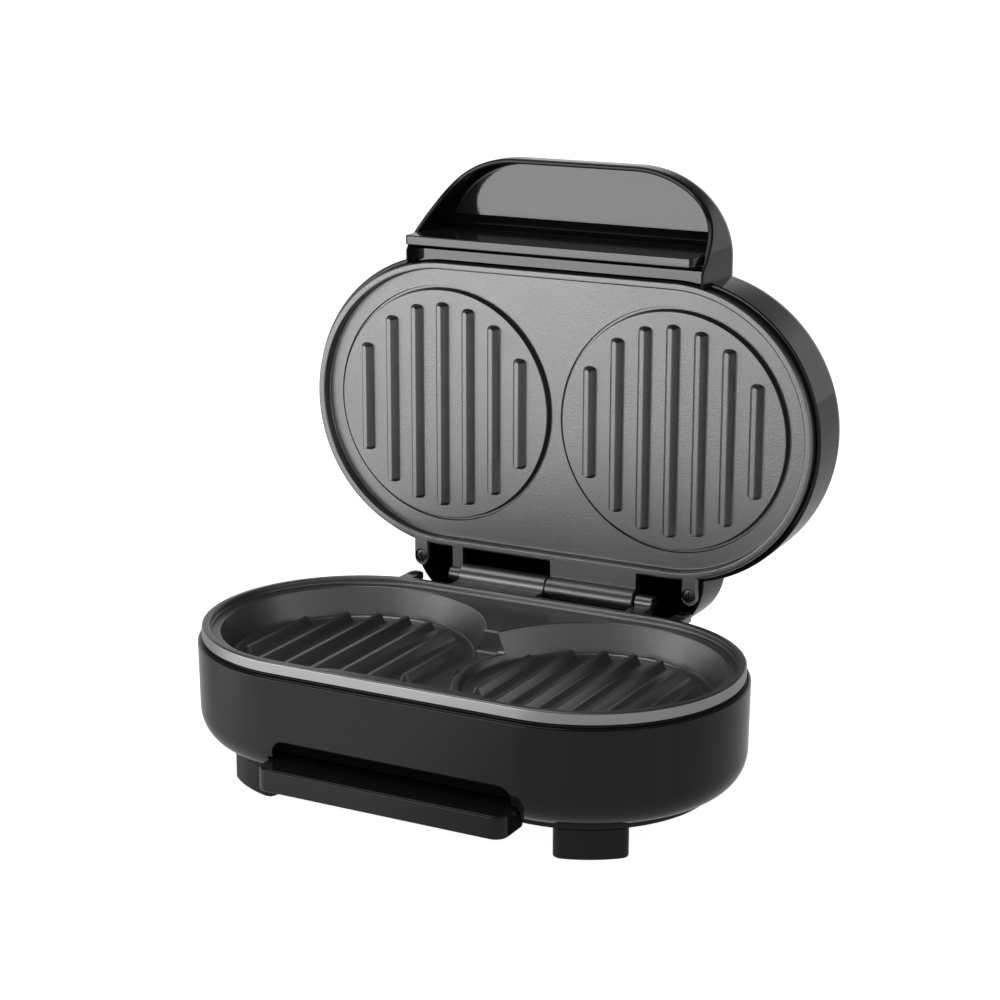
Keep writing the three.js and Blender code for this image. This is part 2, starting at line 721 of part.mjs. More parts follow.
// The thermostat and the fuse, clamped under the land between the wells
const landSeatZ = plateUndersideZ - seatGap;
const thermostat = () => join(
  disc(0, thermostatY, thermostatRadius, landSeatZ - thermostatHeight / 2, landSeatZ),
  disc(0, thermostatY, thermostatRadius * Math.SQRT1_2, landSeatZ - thermostatHeight, landSeatZ));
const thermalFuse = () => rodX(fuseRadius, -fuseLength / 2, fuseLength / 2,
  fuseY, landSeatZ - fuseRadius);

const terminalBlock = () => {
  const bottomZ = coverTopZ + seatGap;
  const pitch = terminalWidth / 3;
  return cut(
    block(-terminalWidth / 2, terminalY - terminalDepth / 2, bottomZ,
      terminalWidth / 2, terminalY + terminalDepth / 2, bottomZ + terminalHeight),
    [-pitch, 0, pitch].map((x) => disc(x, terminalY, screwHeadRadius + seatGap,
      bottomZ + terminalHeight / 2, bottomZ + terminalHeight + overrun)));
};

const hingePin = () => rodX(pinRadius, -hingeHalfLength + pinInset, hingeHalfLength - pinInset,
  hingeY, hingeZ);

// Lid shell: oval, apron behind the hinge and hood in front, all turned into one flat back
const apronOutline = (inset) => roundedBox(-apronHalfWidth + inset, apronEndY + inset,
  apronHalfWidth - inset, -inset, apronCorner - inset);

const hoodOutline = (inset, footY = hoodFootY) => {
  const radiusX = hoodCornerX - inset;
  const radiusY = hoodCornerY - inset;
  const centreX = hoodHalfWidth - hoodCornerX;
  const centreY = hoodTopY - hoodCornerY;
  const bottomY = footY + inset;
  const start = Math.asin(Math.max(0, bottomY - centreY) / radiusY);
  const corners = bothSides((side) => new THREE.Vector2(-side * (hoodHalfWidth - inset), bottomY));
  return [
    ...(start > 0 ? [] : corners),
    ...arc(centreX, centreY, radiusX, radiusY, start, quarter, 2 * cornerSegments),
    ...arc(-centreX, centreY, radiusX, radiusY, quarter, 2 * quarter - start, 2 * cornerSegments),
  ];
};

function lidShell() {
  const shape = { turnZ: lidTurnZ, turnIn: lidTurnIn };
  const lidOval = (drawn) => oval(lidRadius - drawn);
  const outer = join(
    moulding({ ...shape, outline: lidOval, openZ: lidFrontZ, endZ: lidBackZ, draft: lidDraft, inset: 0 }),
    moulding({ ...shape, outline: apronOutline, openZ: lidFrontZ, endZ: lidBackZ, draft: 0, inset: 0 }),
    moulding({ ...shape, outline: hoodOutline, openZ: hoodFrontZ, endZ: lidBackZ, draft: 0, inset: 0 }),
    block(-hoodHalfWidth + hoodWall, hoodFootY, lidTurnZ, hoodHalfWidth - hoodWall, neckTopY, neckFrontZ),
  );
  const endZ = lidBackZ + lidWall;
  const hollow = [
    moulding({ ...shape, outline: lidOval, openZ: 2 * hoodFrontZ, endZ, draft: lidDraft, inset: lidWall }),
    moulding({ ...shape, outline: apronOutline, openZ: 0, endZ, draft: 0, inset: lidWall }),
  ];
  const fingerHollow = moulding({
    outline: (drawn) => hoodOutline(drawn, barTopY + seatGap - hoodWall),
    openZ: 2 * hoodFrontZ,
    turnZ: hoodTurnZ,
    endZ: hoodPanelZ,
    draft: 0,
    turnIn: hoodTurnZ - hoodPanelZ,
    inset: hoodWall,
  });
  const mouthX = hoodHalfWidth - hoodWall;
  const rim = new THREE.CubicBezierCurve(
    new THREE.Vector2(hoodRimStartY, hoodFrontZ),
    new THREE.Vector2(hoodRimStartY + hoodRimBend, hoodRimBendZ),
    new THREE.Vector2(hoodRimEndY - hoodRimLevel, hoodRimZ),
    new THREE.Vector2(hoodRimEndY, hoodRimZ),
  ).getPoints(hoodRimSteps);
  const aboveRim = [
    ...rim,
    new THREE.Vector2(hoodTopY + overrun, hoodRimZ),
    new THREE.Vector2(hoodTopY + overrun, hoodFrontZ + overrun),
    new THREE.Vector2(hoodRimStartY, hoodFrontZ + overrun),
  ];
  const bosses = bothSides((side) => disc(side * tabX, -tabScrewY, bossRadius,
    lidTurnZ - bossRadius, -tabThickness - seatGap));
  const posts = fourCorners((sideX, sideY) => disc(sideX * postX, sideY * postY, postRadius,
    lidBackZ + lidWall / 2, upperReflectorZ - reflectorThickness - seatGap));
  return cut(
    join(cut(outer, hollow), bosses, posts),
    fingerHollow,
    block(-mouthX, neckTopY, hoodTurnZ, mouthX, barTopY + 2 * seatGap, 2 * hoodFrontZ),
    block(-mouthX, 0, neckFrontZ, mouthX, neckTopY + overrun, 2 * hoodFrontZ),
    prismX(aboveRim, -hoodHalfWidth - overrun, hoodHalfWidth + overrun),
    bothSides((side) => screwHole(side * tabX, -tabScrewY, -screwLength - overrun, 0)),
    bothSides((side) => disc(side * lensX, lensY, lensRadius + seatGap,
      lidBackZ - overrun, lidBackZ + 2 * lidWall)));
}

// Handle bar: a flat shelf whose front ends are chamfered
const handleBar = () => {
  const backZ = hoodTurnZ + seatGap;
  const outline = [
    [-barHalfWidth, backZ],
    [barHalfWidth, backZ],
    [barHalfWidth, barFrontZ - barChamfer],
    [barHalfWidth - barChamfer, barFrontZ],
    [-barHalfWidth + barChamfer, barFrontZ],
    [-barHalfWidth, barFrontZ - barChamfer],
  ].map(([x, z]) => new THREE.Vector2(x, z));
  return prismY(outline, barBottomY, barTopY);
};

const lens = (side) => disc(side * lensX, lensY, lensRadius, lidBackZ, lidBackZ + lensThickness);
const lamp = (side) => disc(side * lensX, lensY, lampRadius, lidBackZ + lensThickness + seatGap,
  lidBackZ + lensThickness + seatGap + lampLength);

// Assembly
function addTo(parent, name, shape, look) {
  const mesh = new THREE.Mesh(geometryOf(shape), new THREE.MeshStandardMaterial(look));
  mesh.name = name;
  parent.add(mesh);
}

const burgerMaker = new THREE.Group();
const base = new THREE.Group();
base.position.set(0, -middleY, -floorZ);
burgerMaker.add(base);

const hinge = new THREE.Group();
hinge.position.set(0, hingeY, hingeZ);
hinge.rotation.x = openAngle;
base.add(hinge);

const lid = new THREE.Group();
lid.position.set(0, hingeY, -hingeLidZ);
hinge.add(lid);

addTo(base, 'base_housing', baseHousing(), glossBlack);
addTo(base, 'bottom_cover', bottomCover(), satinBlack);
addTo(base, 'lower_plate', lowerPlate(), coatedPlate);
addTo(base, 'lower_heating_element',
  heatingElement(lowerLoopRadius, plateUndersideZ - seatGap - elementRadius, 1), steel);
addTo(base, 'lower_reflector', lowerReflector(), bareAluminium);
addTo(base, 'thermostat', thermostat(), ceramic);
addTo(base, 'thermal_fuse', thermalFuse(), bareAluminium);
addTo(base, 'terminal_block', terminalBlock(), ceramic);
addTo(base, 'cord_gland', cordGland(), satinBlack);
addTo(base, 'drain_tube', drainTube(), bareAluminium);
addTo(base, 'tray_channel', trayChannel(), satinBlack);
addTo(base, 'drip_tray', dripTray(), glossBlack);
addTo(base, 'hinge_pin', hingePin(), steel);

const coverScrew = (side) => geometryOf(screw(0, 0, 0)).rotateX(2 * quarter)
  .translate(side * coverScrewX, 0, coverBottomZ + seatGap);

for (const [sideName, side] of [['right', 1], ['left', -1]]) {
  addTo(base, `lower_tab_screw_${sideName}`, screw(side * tabX, tabScrewY, screwHeadProud), steel);
  addTo(lid, `upper_tab_screw_${sideName}`, screw(side * tabX, -tabScrewY, -screwHeadSunk), steel);
  addTo(base, `cover_screw_${sideName}`, coverScrew(side), steel);
}

['rear_right', 'rear_left', 'front_left', 'front_right'].forEach((cornerName, i) => {
  addTo(base, `foot_${cornerName}`, foot(footPlaces[i]), satinBlack);
  addTo(base, `foot_pad_${cornerName}`, footPad(footPlaces[i]), rubber);
  addTo(base, `foot_screw_${cornerName}`, footScrew(footPlaces[i]), steel);
});

addTo(lid, 'lid_shell', lidShell(), glossBlack);
addTo(lid, 'handle_bar', handleBar(), glossBlack);
addTo(lid, 'upper_plate', upperPlate(), coatedPlate);
addTo(lid, 'upper_heating_element',
  heatingElement(upperLoopRadius, -upperCastingDepth - seatGap - elementRadius, -1), steel);
addTo(lid, 'upper_reflector', reflector(upperReflectorZ), bareAluminium);
addTo(lid, 'power_lens', lens(-1), redLens);
addTo(lid, 'ready_lens', lens(1), greenLens);
addTo(lid, 'power_lamp', lamp(-1), ceramic);
addTo(lid, 'ready_lamp', lamp(1), ceramic);

export default burgerMaker;
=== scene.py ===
import json
import math

import bmesh
import bpy
from mathutils import Matrix, Vector


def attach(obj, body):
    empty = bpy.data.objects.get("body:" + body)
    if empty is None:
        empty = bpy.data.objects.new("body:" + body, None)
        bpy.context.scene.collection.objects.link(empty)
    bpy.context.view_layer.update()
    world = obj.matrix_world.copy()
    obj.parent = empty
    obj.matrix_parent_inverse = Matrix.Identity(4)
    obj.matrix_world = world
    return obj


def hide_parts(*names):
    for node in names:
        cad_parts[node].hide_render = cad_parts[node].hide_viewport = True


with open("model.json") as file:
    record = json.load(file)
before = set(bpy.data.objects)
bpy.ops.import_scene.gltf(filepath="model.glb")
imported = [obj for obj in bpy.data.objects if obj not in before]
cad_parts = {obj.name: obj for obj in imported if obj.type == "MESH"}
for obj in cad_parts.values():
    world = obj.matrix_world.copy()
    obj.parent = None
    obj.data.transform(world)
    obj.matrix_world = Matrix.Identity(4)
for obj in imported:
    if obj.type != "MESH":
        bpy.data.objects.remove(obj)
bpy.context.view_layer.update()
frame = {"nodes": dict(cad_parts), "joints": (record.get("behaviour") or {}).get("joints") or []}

# Double burger maker: two grill wells in a low base, a hinged lid and a slide-out drip tray.
# Shapes are drawn in millimetres, heights from the top of the lower plate's rim, and then set
# into the frame in metres.
MM = 0.001
QUARTER = math.pi / 2
SEAT_GAP = 0.3           # between fitted parts
OVERRUN = 1.0            # how far a cutting tool runs past what it cuts
WELD = 0.5               # how far a welded piece reaches into its neighbour
SAME_POINT = 1e-4        # points closer than this are one
MID_TURN = 0.3           # a rounding's middle point, as a share of its radius

# Plate outline, shared by both plates
PLATE_RADIUS = 68.6
HALF_STRAIGHT = 58.4
RIM_WIDTH = 3.6
SKIRT_DEPTH = 5.4
RIM_ROUND = 1.0
RIM_INNER_ROUND = 0.9
RIM_FLOOR_ROUND = 0.8
SKIRT_ROUND = 0.5

# Wells of the lower plate
WELL_CENTRE = 59.0
WELL_TOP_RADIUS = 59.9
WELL_FLOOR_RADIUS = 54.7
LEDGE_DEPTH = 3.2
FLOOR_DEPTH = 16.9
CASTING = 3.0
WELL_MOUTH_ROUND = 0.8
WELL_FOOT_ROUND = 2.0

# Grill ribs
RIB_COUNT = 7
RIB_PITCH = 13.66
RIB_TOP_WIDTH = 2.2
RIB_BASE_WIDTH = 6.7
RIB_HEIGHT = 4.5
RIB_CIRCLE_RADIUS = 48.15
RIB_FLARE = 2.4
RIB_EDGE = 0.3
RIB_END_ROUND = 0.5
RIB_END_LEAN = 0.6

# Grease channel and sump between the wells
CHANNEL_BACK_Y = 22.4
CHANNEL_FRONT_Y = -54.5
CHANNEL_HALF_WIDTH = WELL_CENTRE - math.sqrt(WELL_TOP_RADIUS ** 2 - CHANNEL_FRONT_Y ** 2)
CHANNEL_LAND_DEPTH = 14.0
CHANNEL_CORNER = 2.0
CHANNEL_MOUTH_ROUND = 0.8
CHANNEL_FOOT_ROUND = 0.9
RIDGE_RADIUS = 59.3
RIDGE_WIDTH = 3.4
RIDGE_TOP_Z = -12.8
RIDGE_FRONT_GAP = 2.0
RIDGE_SHOULDER = [(0, 0.9), (0.3, 0.3), (1.0, 0)]    # in from the ridge's side, down from its top
# The wall that the ridge runs into at its rear end: behind the channel's back, height
RAMP_SECTION = [(WELD, -LEDGE_DEPTH - 0.1), (0, -LEDGE_DEPTH - 0.4), (-0.4, -LEDGE_DEPTH - 1.2),
                (-0.4, RIDGE_TOP_Z + 0.8), (-1.2, RIDGE_TOP_Z), (WELD, RIDGE_TOP_Z)]
SUMP_DEPTH = 16.96
SUMP_INSET = 0.01
SUMP_BACK_Y = -4.0
SUMP_INNER_RADIUS = 52.0
DRAIN_Y = -42.0
DRAIN_RADIUS = 1.8
DRAIN_PITCH = 5.0
DRAIN_COUNT = 3

# Upper plate
UPPER_FACE_DEPTH = 4.7
UPPER_DISC_RADIUS = 55.0
UPPER_DISC_DRAFT = 0.8
UPPER_DISC_DEPTH = 2.4
UPPER_DISC_ROUND = 0.4
DISC_GROOVE_WIDTH = 1.1
DISC_GROOVE_DEPTH = 1.2
DISC_GROOVE_OVERLAP = 0.6
DISC_GROOVE_CORNER = (0.3, 0.4)
UPPER_RIB_PROUD = 1.5
UPPER_RIB_FLARE = 0.8
UPPER_RIB_EDGE = 0.6
UPPER_RIB_END = 0.45     # how far an end slopes out, as a share of the flanks
UPPER_CASTING_DEPTH = 8.0

# Screw tabs and screws
TAB_X = 70.2
TAB_WIDTH = 7.4
TAB_END_Y = 79.9
TAB_ROOT_Y = 60.0
TAB_THICKNESS = 3.5
TAB_EDGE = 0.5
TAB_SCREW_Y = 75.0
SCREW_RADIUS = 1.5
SCREW_HEAD_RADIUS = 3.0
SCREW_HEAD_HEIGHT = 1.6
SCREW_HEAD_PROUD = 0.6
SCREW_HEAD_SUNK = 0.4
SCREW_LENGTH = 14.0
SCREW_CROWN = [(1, 0.7), (0.93, 0.35), (0.75, 0.1), (0.4, 0)]    # share of the head's radius, depth
CROSS_REACH = 0.55
CROSS_HALF_WIDTH = 0.35
CROSS_DEPTH = 1.0

# Hinge
HINGE_Y = 81.4
HINGE_Z = 0.8
LID_GAP = 1.0
BARREL_RADIUS = 5.6
SMALL_BARREL_RADIUS = 3.6
BARREL_EDGE = 0.4
WEB_THICKNESS = 4.4
WEB_EDGE = 0.4
PIN_RADIUS = 1.6
KNUCKLE_GAP = 0.4
HINGE_HALF_LENGTH = 53.2
SMALL_KNUCKLE_X = 44.4
LID_KNUCKLE_X = 46.9
HINGE_MIDDLE_X = -1.3

# Base housing
HOUSING_RADIUS = 70.5
HOUSING_TOP_Z = -6.5
HOUSING_TURN_Z = -37.3
HOUSING_END_Z = -51.7
HOUSING_DRAFT = 0.4
HOUSING_TURN_IN = 12.0
HOUSING_WALL = 2.5
SEAT_WIDTH = 2.8
SEAT_DEPTH = 3.3
BULGE_HALF_WIDTH = 75.2
BULGE_BACK_Y = 85.0
BULGE_CORNER = 16.0
BOTTOM_OPENING_RADIUS = 55.0
LIP_ROUND = 1.2
LIP_INNER_ROUND = 0.8

# Recess in the front of the housing, and the tray slot
RECESS_HALF_WIDTH = 61.0
MOUTH_HALF_WIDTH = 58.0
RECESS_TOP_Z = -35.6
RECESS_BACK_Y = -65.5
RECESS_CORNER = 6.0
RECESS_WALL = 2.0
RECESS_MOUTH_ROUND = 0.8
RECESS_FOOT_ROUND = 0.6
SLOT_TOP_Z = -41.5
SLIDE_GAP = 0.6

# Bottom cover and feet
COVER_RADIUS = 56.9
COVER_THICKNESS = 3.5
COVER_SCREW_X = 104.0
COVER_TOP_ROUND = 0.4
COVER_BOTTOM_ROUND = 0.8
FOOT_HEIGHT = 14.2
FOOT_OUTER_RADIUS = 56.3
FOOT_DEPTH = 17.0
FOOT_START = math.radians(44)
FOOT_END = math.radians(79)
FOOT_CORNER = 4.0
FOOT_TOP_ROUND = 0.3
FOOT_END_ROUND = 0.8
PAD_INSET = 2.0
PAD_PROUD = 0.8
PAD_THICKNESS = 2.5
PAD_ROUND = 0.4

# Drip tray
TRAY_FRONT_Y = -81.0
TRAY_HALF_WIDTH = 60.0
TRAY_CORNER = 5.9
TRAY_GRIP_BACK_Y = -58.0
TRAY_GRIP_WALL = 2.4
TRAY_DECK_Z = -43.9
TRAY_GRIP_DEPTH = 10.4
TRAY_BODY_HALF_WIDTH = 54.4
TRAY_BODY_BACK_Y = -10.0
TRAY_BODY_DEPTH = 7.4
TRAY_BODY_CORNER = 4.0
TRAY_WALL = 1.6
TRAY_DECK_ROUND = 1.1
TRAY_GRIP_ROUND = 0.8
TRAY_INNER_ROUND = 1.5
TRAY_LIP_ROUND = 0.4
TRAY_FLOOR_ROUND = 1.5
TRAY_BASIN_ROUND = 1.2

# Cord gland
GLAND_X = -45.0
GLAND_Z = -30.0
GLAND_RADIUS = 5.6
GLAND_FLANGE_RADIUS = 8.0
GLAND_FLANGE_THICKNESS = 2.2
GLAND_BORE_RADIUS = 3.4
GLAND_EDGE = 0.6

# Lid shell, in the lid's own frame: x across, y away from the hinge, z out of the cooking face
LID_RADIUS = 71.0
LID_FRONT_Z = -4.6
LID_TURN_Z = -28.0
LID_BACK_Z = -40.0
LID_DRAFT = 0.5
LID_TURN_IN = 12.0
LID_WALL = 1.6
LID_LIP_ROUND = 0.6
APRON_HALF_WIDTH = 75.5
APRON_END_Y = -96.0
APRON_CORNER = 26.0

# Hood over the handle
HOOD_HALF_WIDTH = 75.2
HOOD_TOP_Y = 116.0
HOOD_CORNER_X = 45.0
HOOD_CORNER_Y = 40.0
HOOD_FOOT_Y = 45.0
HOOD_WALL = 2.4
HOOD_FRONT_Z = 4.0
HOOD_RIM_Z = -20.0
HOOD_RIM_START_Y = 74.0
HOOD_RIM_END_Y = 106.0
HOOD_RIM_BEND_Y = 86.0
HOOD_RIM_BEND_Z = -7.0
HOOD_RIM_LEVEL_Y = 92.0
HOOD_RIM_ROUND = 0.9
HOOD_TURN_Z = -31.0
HOOD_PANEL_Z = -35.0
PANEL_ROUND = 2.0
PANEL_LEAN = 0.026
PANEL_FOOT_Y = 86.5
FOOT_LIP_Y = 83.0
FOOT_LIP_Z = -32.0
FOOT_LIP_ROUND = 0.6
MOUTH_OVERLAP = 0.05
GROOVE_DEPTH = 1.5
GROOVE_FRONT_Z = -22.7
NECK_TOP_Y = 73.6
NECK_FRONT_Z = -4.0

# Handle bar
BAR_FRONT_Z = 9.6
BAR_BOTTOM_Y = 77.1
BAR_TOP_Y = 81.5
BAR_HALF_WIDTH = 72.4
BAR_CHAMFER = 1.6
BAR_EDGE = 0.5
BAR_SIDE_SHARE = 0.6

# Lights in the lid
LENS_RADIUS = 3.5
LENS_THICKNESS = 2.0
LENS_X = 10.0
LENS_Y = 52.0
LENS_CROWN = [(1, 0.6), (0.9, 0.25), (0.6, 0.06), (0.2, 0)]      # share of the radius, depth

# Levels and places that follow
UNDERSIDE_Z = -FLOOR_DEPTH - CASTING
COVER_TOP_Z = HOUSING_END_Z - SEAT_GAP
COVER_BOTTOM_Z = COVER_TOP_Z - COVER_THICKNESS
FOOT_TOP_Z = COVER_BOTTOM_Z - SEAT_GAP
FLOOR_Z = FOOT_TOP_Z - FOOT_HEIGHT
HINGE_LID_Z = LID_GAP - HINGE_Z
MOUTH_X = HOOD_HALF_WIDTH - HOOD_WALL + MOUTH_OVERLAP

# Steps of the round stretches
END_STEPS = 96
WELL_STEPS = 192
SMALL_STEPS = 32
HINGE_STEPS = 48
TURN_STEPS = 12
FILLET_STEPS = 5

# Places of the plates' frames: the hinge's axis sets both
hinge_point = Vector(next(j for j in frame["joints"] if j["name"] == "lid_hinge")["pos_m"])
HINGE = Matrix.Translation(hinge_point) @ Matrix.Scale(MM, 4)
PLATE = HINGE @ Matrix.Translation((0, -HINGE_Y, -HINGE_Z))
LID = HINGE @ Matrix.Rotation(QUARTER, 4, "X") @ Matrix.Translation((0, HINGE_Y, -HINGE_LID_Z))
PLACES = {"base": PLATE, "tray": PLATE, "lid": LID}


# Outlines
def arc(cx, cy, rx, ry, start, end, steps):
    angles = [start + (end - start) * i / steps for i in range(steps + 1)]
    return [(cx + rx * math.cos(a), cy + ry * math.sin(a)) for a in angles]


def circle(cx, cy, radius, steps=SMALL_STEPS):
    return arc(cx, cy, radius, radius, 0, 4 * QUARTER, steps)[:-1]


def oval(radius):
    return (arc(HALF_STRAIGHT, 0, radius, radius, -QUARTER, QUARTER, END_STEPS)
            + arc(-HALF_STRAIGHT, 0, radius, radius, QUARTER, 3 * QUARTER, END_STEPS))


def oval_in(radius):
    return lambda inset: oval(radius - inset)


def rounded_box(x0, y0, x1, y1, corner, steps=8):
    places = [(x1, y0, -1, 1), (x1, y1, -1, -1), (x0, y1, 1, -1), (x0, y0, 1, 1)]
    return [p for i, (x, y, sx, sy) in enumerate(places)
            for p in arc(x + sx * corner, y + sy * corner, corner, corner,
                         (i - 1) * QUARTER, i * QUARTER, steps)]


def wide_box(half, y0, y1, corner, steps=8):
    return rounded_box(-half, y0, half, y1, corner, steps)


def mirrored(half):
    return half + [(-x, y) for x, y in reversed(half)]


def round_corners(points, steps=FILLET_STEPS):
    """A profile given as (across, height, radius), each corner turned into an arc of its radius."""
    profile = []
    for i, (x, z, radius) in enumerate(points):
        here = Vector((x, z))
        if not radius:
            profile.append((x, z))
            continue
        before = (Vector(points[i - 1][:2]) - here).normalized()
        after = (Vector(points[i + 1][:2]) - here).normalized()
        half = before.angle(after) / 2
        reach = radius / math.tan(half)
        centre = here + (before + after).normalized() * (radius / math.sin(half))
        start = here + before * reach - centre
        end = here + after * reach - centre
        turn = start.angle(end)
        for k in range(steps + 1):
            first, second = math.sin((1 - k / steps) * turn), math.sin(k / steps * turn)
            profile.append(tuple(centre + (start * first + end * second) / math.sin(turn)))
    return profile


def edged(top, top_round, bottom, bottom_round, flat=4.0):
    """A wall between two heights, its edges rounded, with a stretch of the flats beyond them."""
    return round_corners([(flat, top, 0), (0, top, top_round), (0, bottom, bottom_round),
                          (flat, bottom, 0)])


# Rings of points at one height, or at one place along y or x
def level(outline, z):
    return [(x, y, z) for x, y in outline]


def across_y(outline, y):
    return [(x, y, z) for x, z in outline]


def across_x(outline, x):
    return [(x, y, z) for y, z in outline]


# Meshes
def new_object(name, data):
    made = bpy.data.objects.new(name, data)
    bpy.context.scene.collection.objects.link(made)
    return made


def skin(rings, looped=False):
    """A closed mesh through rings of equal counts. A looped one joins its last ring to its first."""
    count = len(rings[0])
    points = [p for ring in rings for p in ring]
    faces = []
    for k in range(len(rings) if looped else len(rings) - 1):
        low = k * count
        high = (k + 1) % len(rings) * count
        faces += [(low + i, low + (i + 1) % count, high + (i + 1) % count, high + i)
                  for i in range(count)]
    if not looped:
        faces += [tuple(reversed(range(count))), tuple(range(len(points) - count, len(points)))]
    mesh = bpy.data.meshes.new("shape")
    mesh.from_pydata(points, [], faces)
    body = bmesh.new()
    body.from_mesh(mesh)
    bmesh.ops.remove_doubles(body, verts=body.verts, dist=SAME_POINT)
    bmesh.ops.recalc_face_normals(body, faces=body.faces)
    body.to_mesh(mesh)
    body.free()
    return new_object("shape", mesh)


def prism(outline, start, end, across=level):
    return skin([across(outline, start), across(outline, end)])


def block(x0, y0, z0, x1, y1, z1):
    return prism([(x0, y0), (x1, y0), (x1, y1), (x0, y1)], z0, z1)


def wide_block(half, y0, z0, y1, z1):
    return block(-half, y0, z0, half, y1, z1)


def revolved(cx, cy, profile, steps=SMALL_STEPS, across=level, looped=False):
    return shaped(lambda radius: circle(cx, cy, radius, steps), profile, across, looped)


def at_well(side, profile, looped=False):
    return revolved(side * WELL_CENTRE, 0, profile, WELL_STEPS, looped=looped)


def disc(cx, cy, radius, z0, z1):
    return revolved(cx, cy, [(radius, z0), (radius, z1)])


def shaped(outline, profile, across=level, looped=False):
    """A skin through outline(inset) at the places of the profile."""
    return skin([across(outline(inset), place) for inset, place in profile], looped)


def booled(body, operation, tools):
    for tool in tools:
        step = body.modifiers.new("step", "BOOLEAN")
        step.solver = "MANIFOLD"
        step.operation = operation
        step.object = tool
    depsgraph = bpy.context.evaluated_depsgraph_get()
    made = bpy.data.meshes.new_from_object(body.evaluated_get(depsgraph))
    body.modifiers.clear()
    spent = body.data
    body.data = made
    bpy.data.meshes.remove(spent)
    for tool in tools:
        bpy.data.objects.remove(tool)
    return body


def welded(body, *tools):
    return booled(body, "UNION", tools)


def carved(body, *tools):
    return booled(body, "DIFFERENCE", tools)


def common(body, *tools):
    return booled(body, "INTERSECT", tools)


def both_sides(make):
    return [make(1), make(-1)]


def turn_profile(inset, turn_z, end_z, draft, turn_in, steps=TURN_STEPS):
    """The rounded turn of a deep moulding from its wall into its flat end."""
    return [(inset + draft + turn_in * (1 - math.cos(QUARTER * i / steps)),
             turn_z + (end_z - turn_z) * math.sin(QUARTER * i / steps)) for i in range(steps + 1)]


# Ribs of one well or disc
def rib_tools(root_z, face_z, top_z, flare, edge, upright=False):
    """Ribs with sloped flanks. Their ends are round and steeper than the flanks, or the rear ends
    stand upright and the front ends slope like the flanks."""
    half_top, half_base = RIB_TOP_WIDTH / 2, RIB_BASE_WIDTH / 2
    bends = round_corners([(half_base + 2 * flare, face_z, 0), (half_base, face_z, flare),
                           (half_top, top_z, edge), (0, top_z, 0)])[1:-1]
    profile = [(bends[0][0], root_z)] + bends

    def rib(x, half_length):
        rings = []
        for width, z in profile:
            if upright:
                reach, corner = width, RIB_END_ROUND
                tip = half_length - max(0, edge + z - top_z) * RIB_END_LEAN - corner
                rear = (arc(x + width - corner, tip, corner, corner, 0, QUARTER, 5)[:5]
                        + arc(x - width + corner, tip, corner, corner, QUARTER, 2 * QUARTER, 5))
            else:
                reach = half_top + UPPER_RIB_END * (width - half_top)
                rear = arc(x, half_length - half_top, width, reach, 0, 2 * QUARTER, 10)
            front = arc(x, half_top - half_length, width, reach, 2 * QUARTER, 4 * QUARTER, 10)
            rings.append(level(rear + front, z))
        return skin(rings)

    offsets = [(i - (RIB_COUNT - 1) / 2) * RIB_PITCH for i in range(RIB_COUNT)]
    return [rib(side * WELL_CENTRE + offset, math.sqrt(RIB_CIRCLE_RADIUS ** 2 - offset ** 2))
            for side in (1, -1) for offset in offsets]


def barrel(x0, x1, along, axis_z, size):
    inner, low, high = size - BARREL_EDGE, x0 + BARREL_EDGE, x1 - BARREL_EDGE
    return revolved(along * HINGE_Y, axis_z, [(inner, x0), (size, low), (size, high), (inner, x1)],
                    HINGE_STEPS, across_x)


def knuckle(x0, x1, along, axis_z, size=BARREL_RADIUS):
    """A barrel round the hinge's axis, and the web that joins it to the plate's rim."""
    low, high = sorted((along * (PLATE_RADIUS - RIM_WIDTH / 2), along * HINGE_Y))
    section = rounded_box(low, -WEB_THICKNESS, high, 0, WEB_EDGE, 2)
    return [barrel(x0, x1, along, axis_z, size), prism(section, x0 + WEB_EDGE, x1 - WEB_EDGE, across_x)]


def pin_hole(along, axis_z):
    half = HINGE_HALF_LENGTH + OVERRUN
    return prism(circle(along * HINGE_Y, axis_z, PIN_RADIUS + SEAT_GAP), -half, half, across_x)


def tab(side, along):
    radius = TAB_WIDTH / 2

    def outline(inset):
        r = radius - inset
        return [p for y, start in [(TAB_END_Y - radius, 0), (TAB_ROOT_Y, 2 * QUARTER)]
                for p in arc(side * TAB_X, along * y, r, along * r, start, start + 2 * QUARTER, 12)]

    return shaped(outline, [(TAB_EDGE, -TAB_THICKNESS), (0, TAB_EDGE - TAB_THICKNESS), (0, -TAB_EDGE),
                            (TAB_EDGE, 0)])


def tab_holes(along, head_z):
    holes = [(SCREW_RADIUS, -TAB_THICKNESS - OVERRUN),
             (SCREW_HEAD_RADIUS, head_z - SCREW_HEAD_HEIGHT - SEAT_GAP)]
    return [disc(side * TAB_X, along * TAB_SCREW_Y, radius + SEAT_GAP, low, OVERRUN)
            for side in (1, -1) for radius, low in holes]


def rim_pocket(depth):
    inner = PLATE_RADIUS - RIM_WIDTH
    return shaped(oval, hollow_profile(inner, 0, RIM_INNER_ROUND, inner, -depth, RIM_FLOOR_ROUND, -2))


def hollow_profile(mouth, mouth_z, mouth_round, foot, foot_z, foot_round, end=-1):
    """Straight up from a hollow's rounded mouth, and down its wall into its rounded foot."""
    wall = round_corners([(mouth + 1, mouth_z, 0), (mouth, mouth_z, mouth_round),
                          (foot, foot_z, foot_round), (foot - 1, foot_z, 0)])
    return [(wall[1][0], OVERRUN)] + wall[1:end]


def plate_slab(depth):
    return shaped(oval_in(PLATE_RADIUS), edged(0, RIM_ROUND, -depth, SKIRT_ROUND))


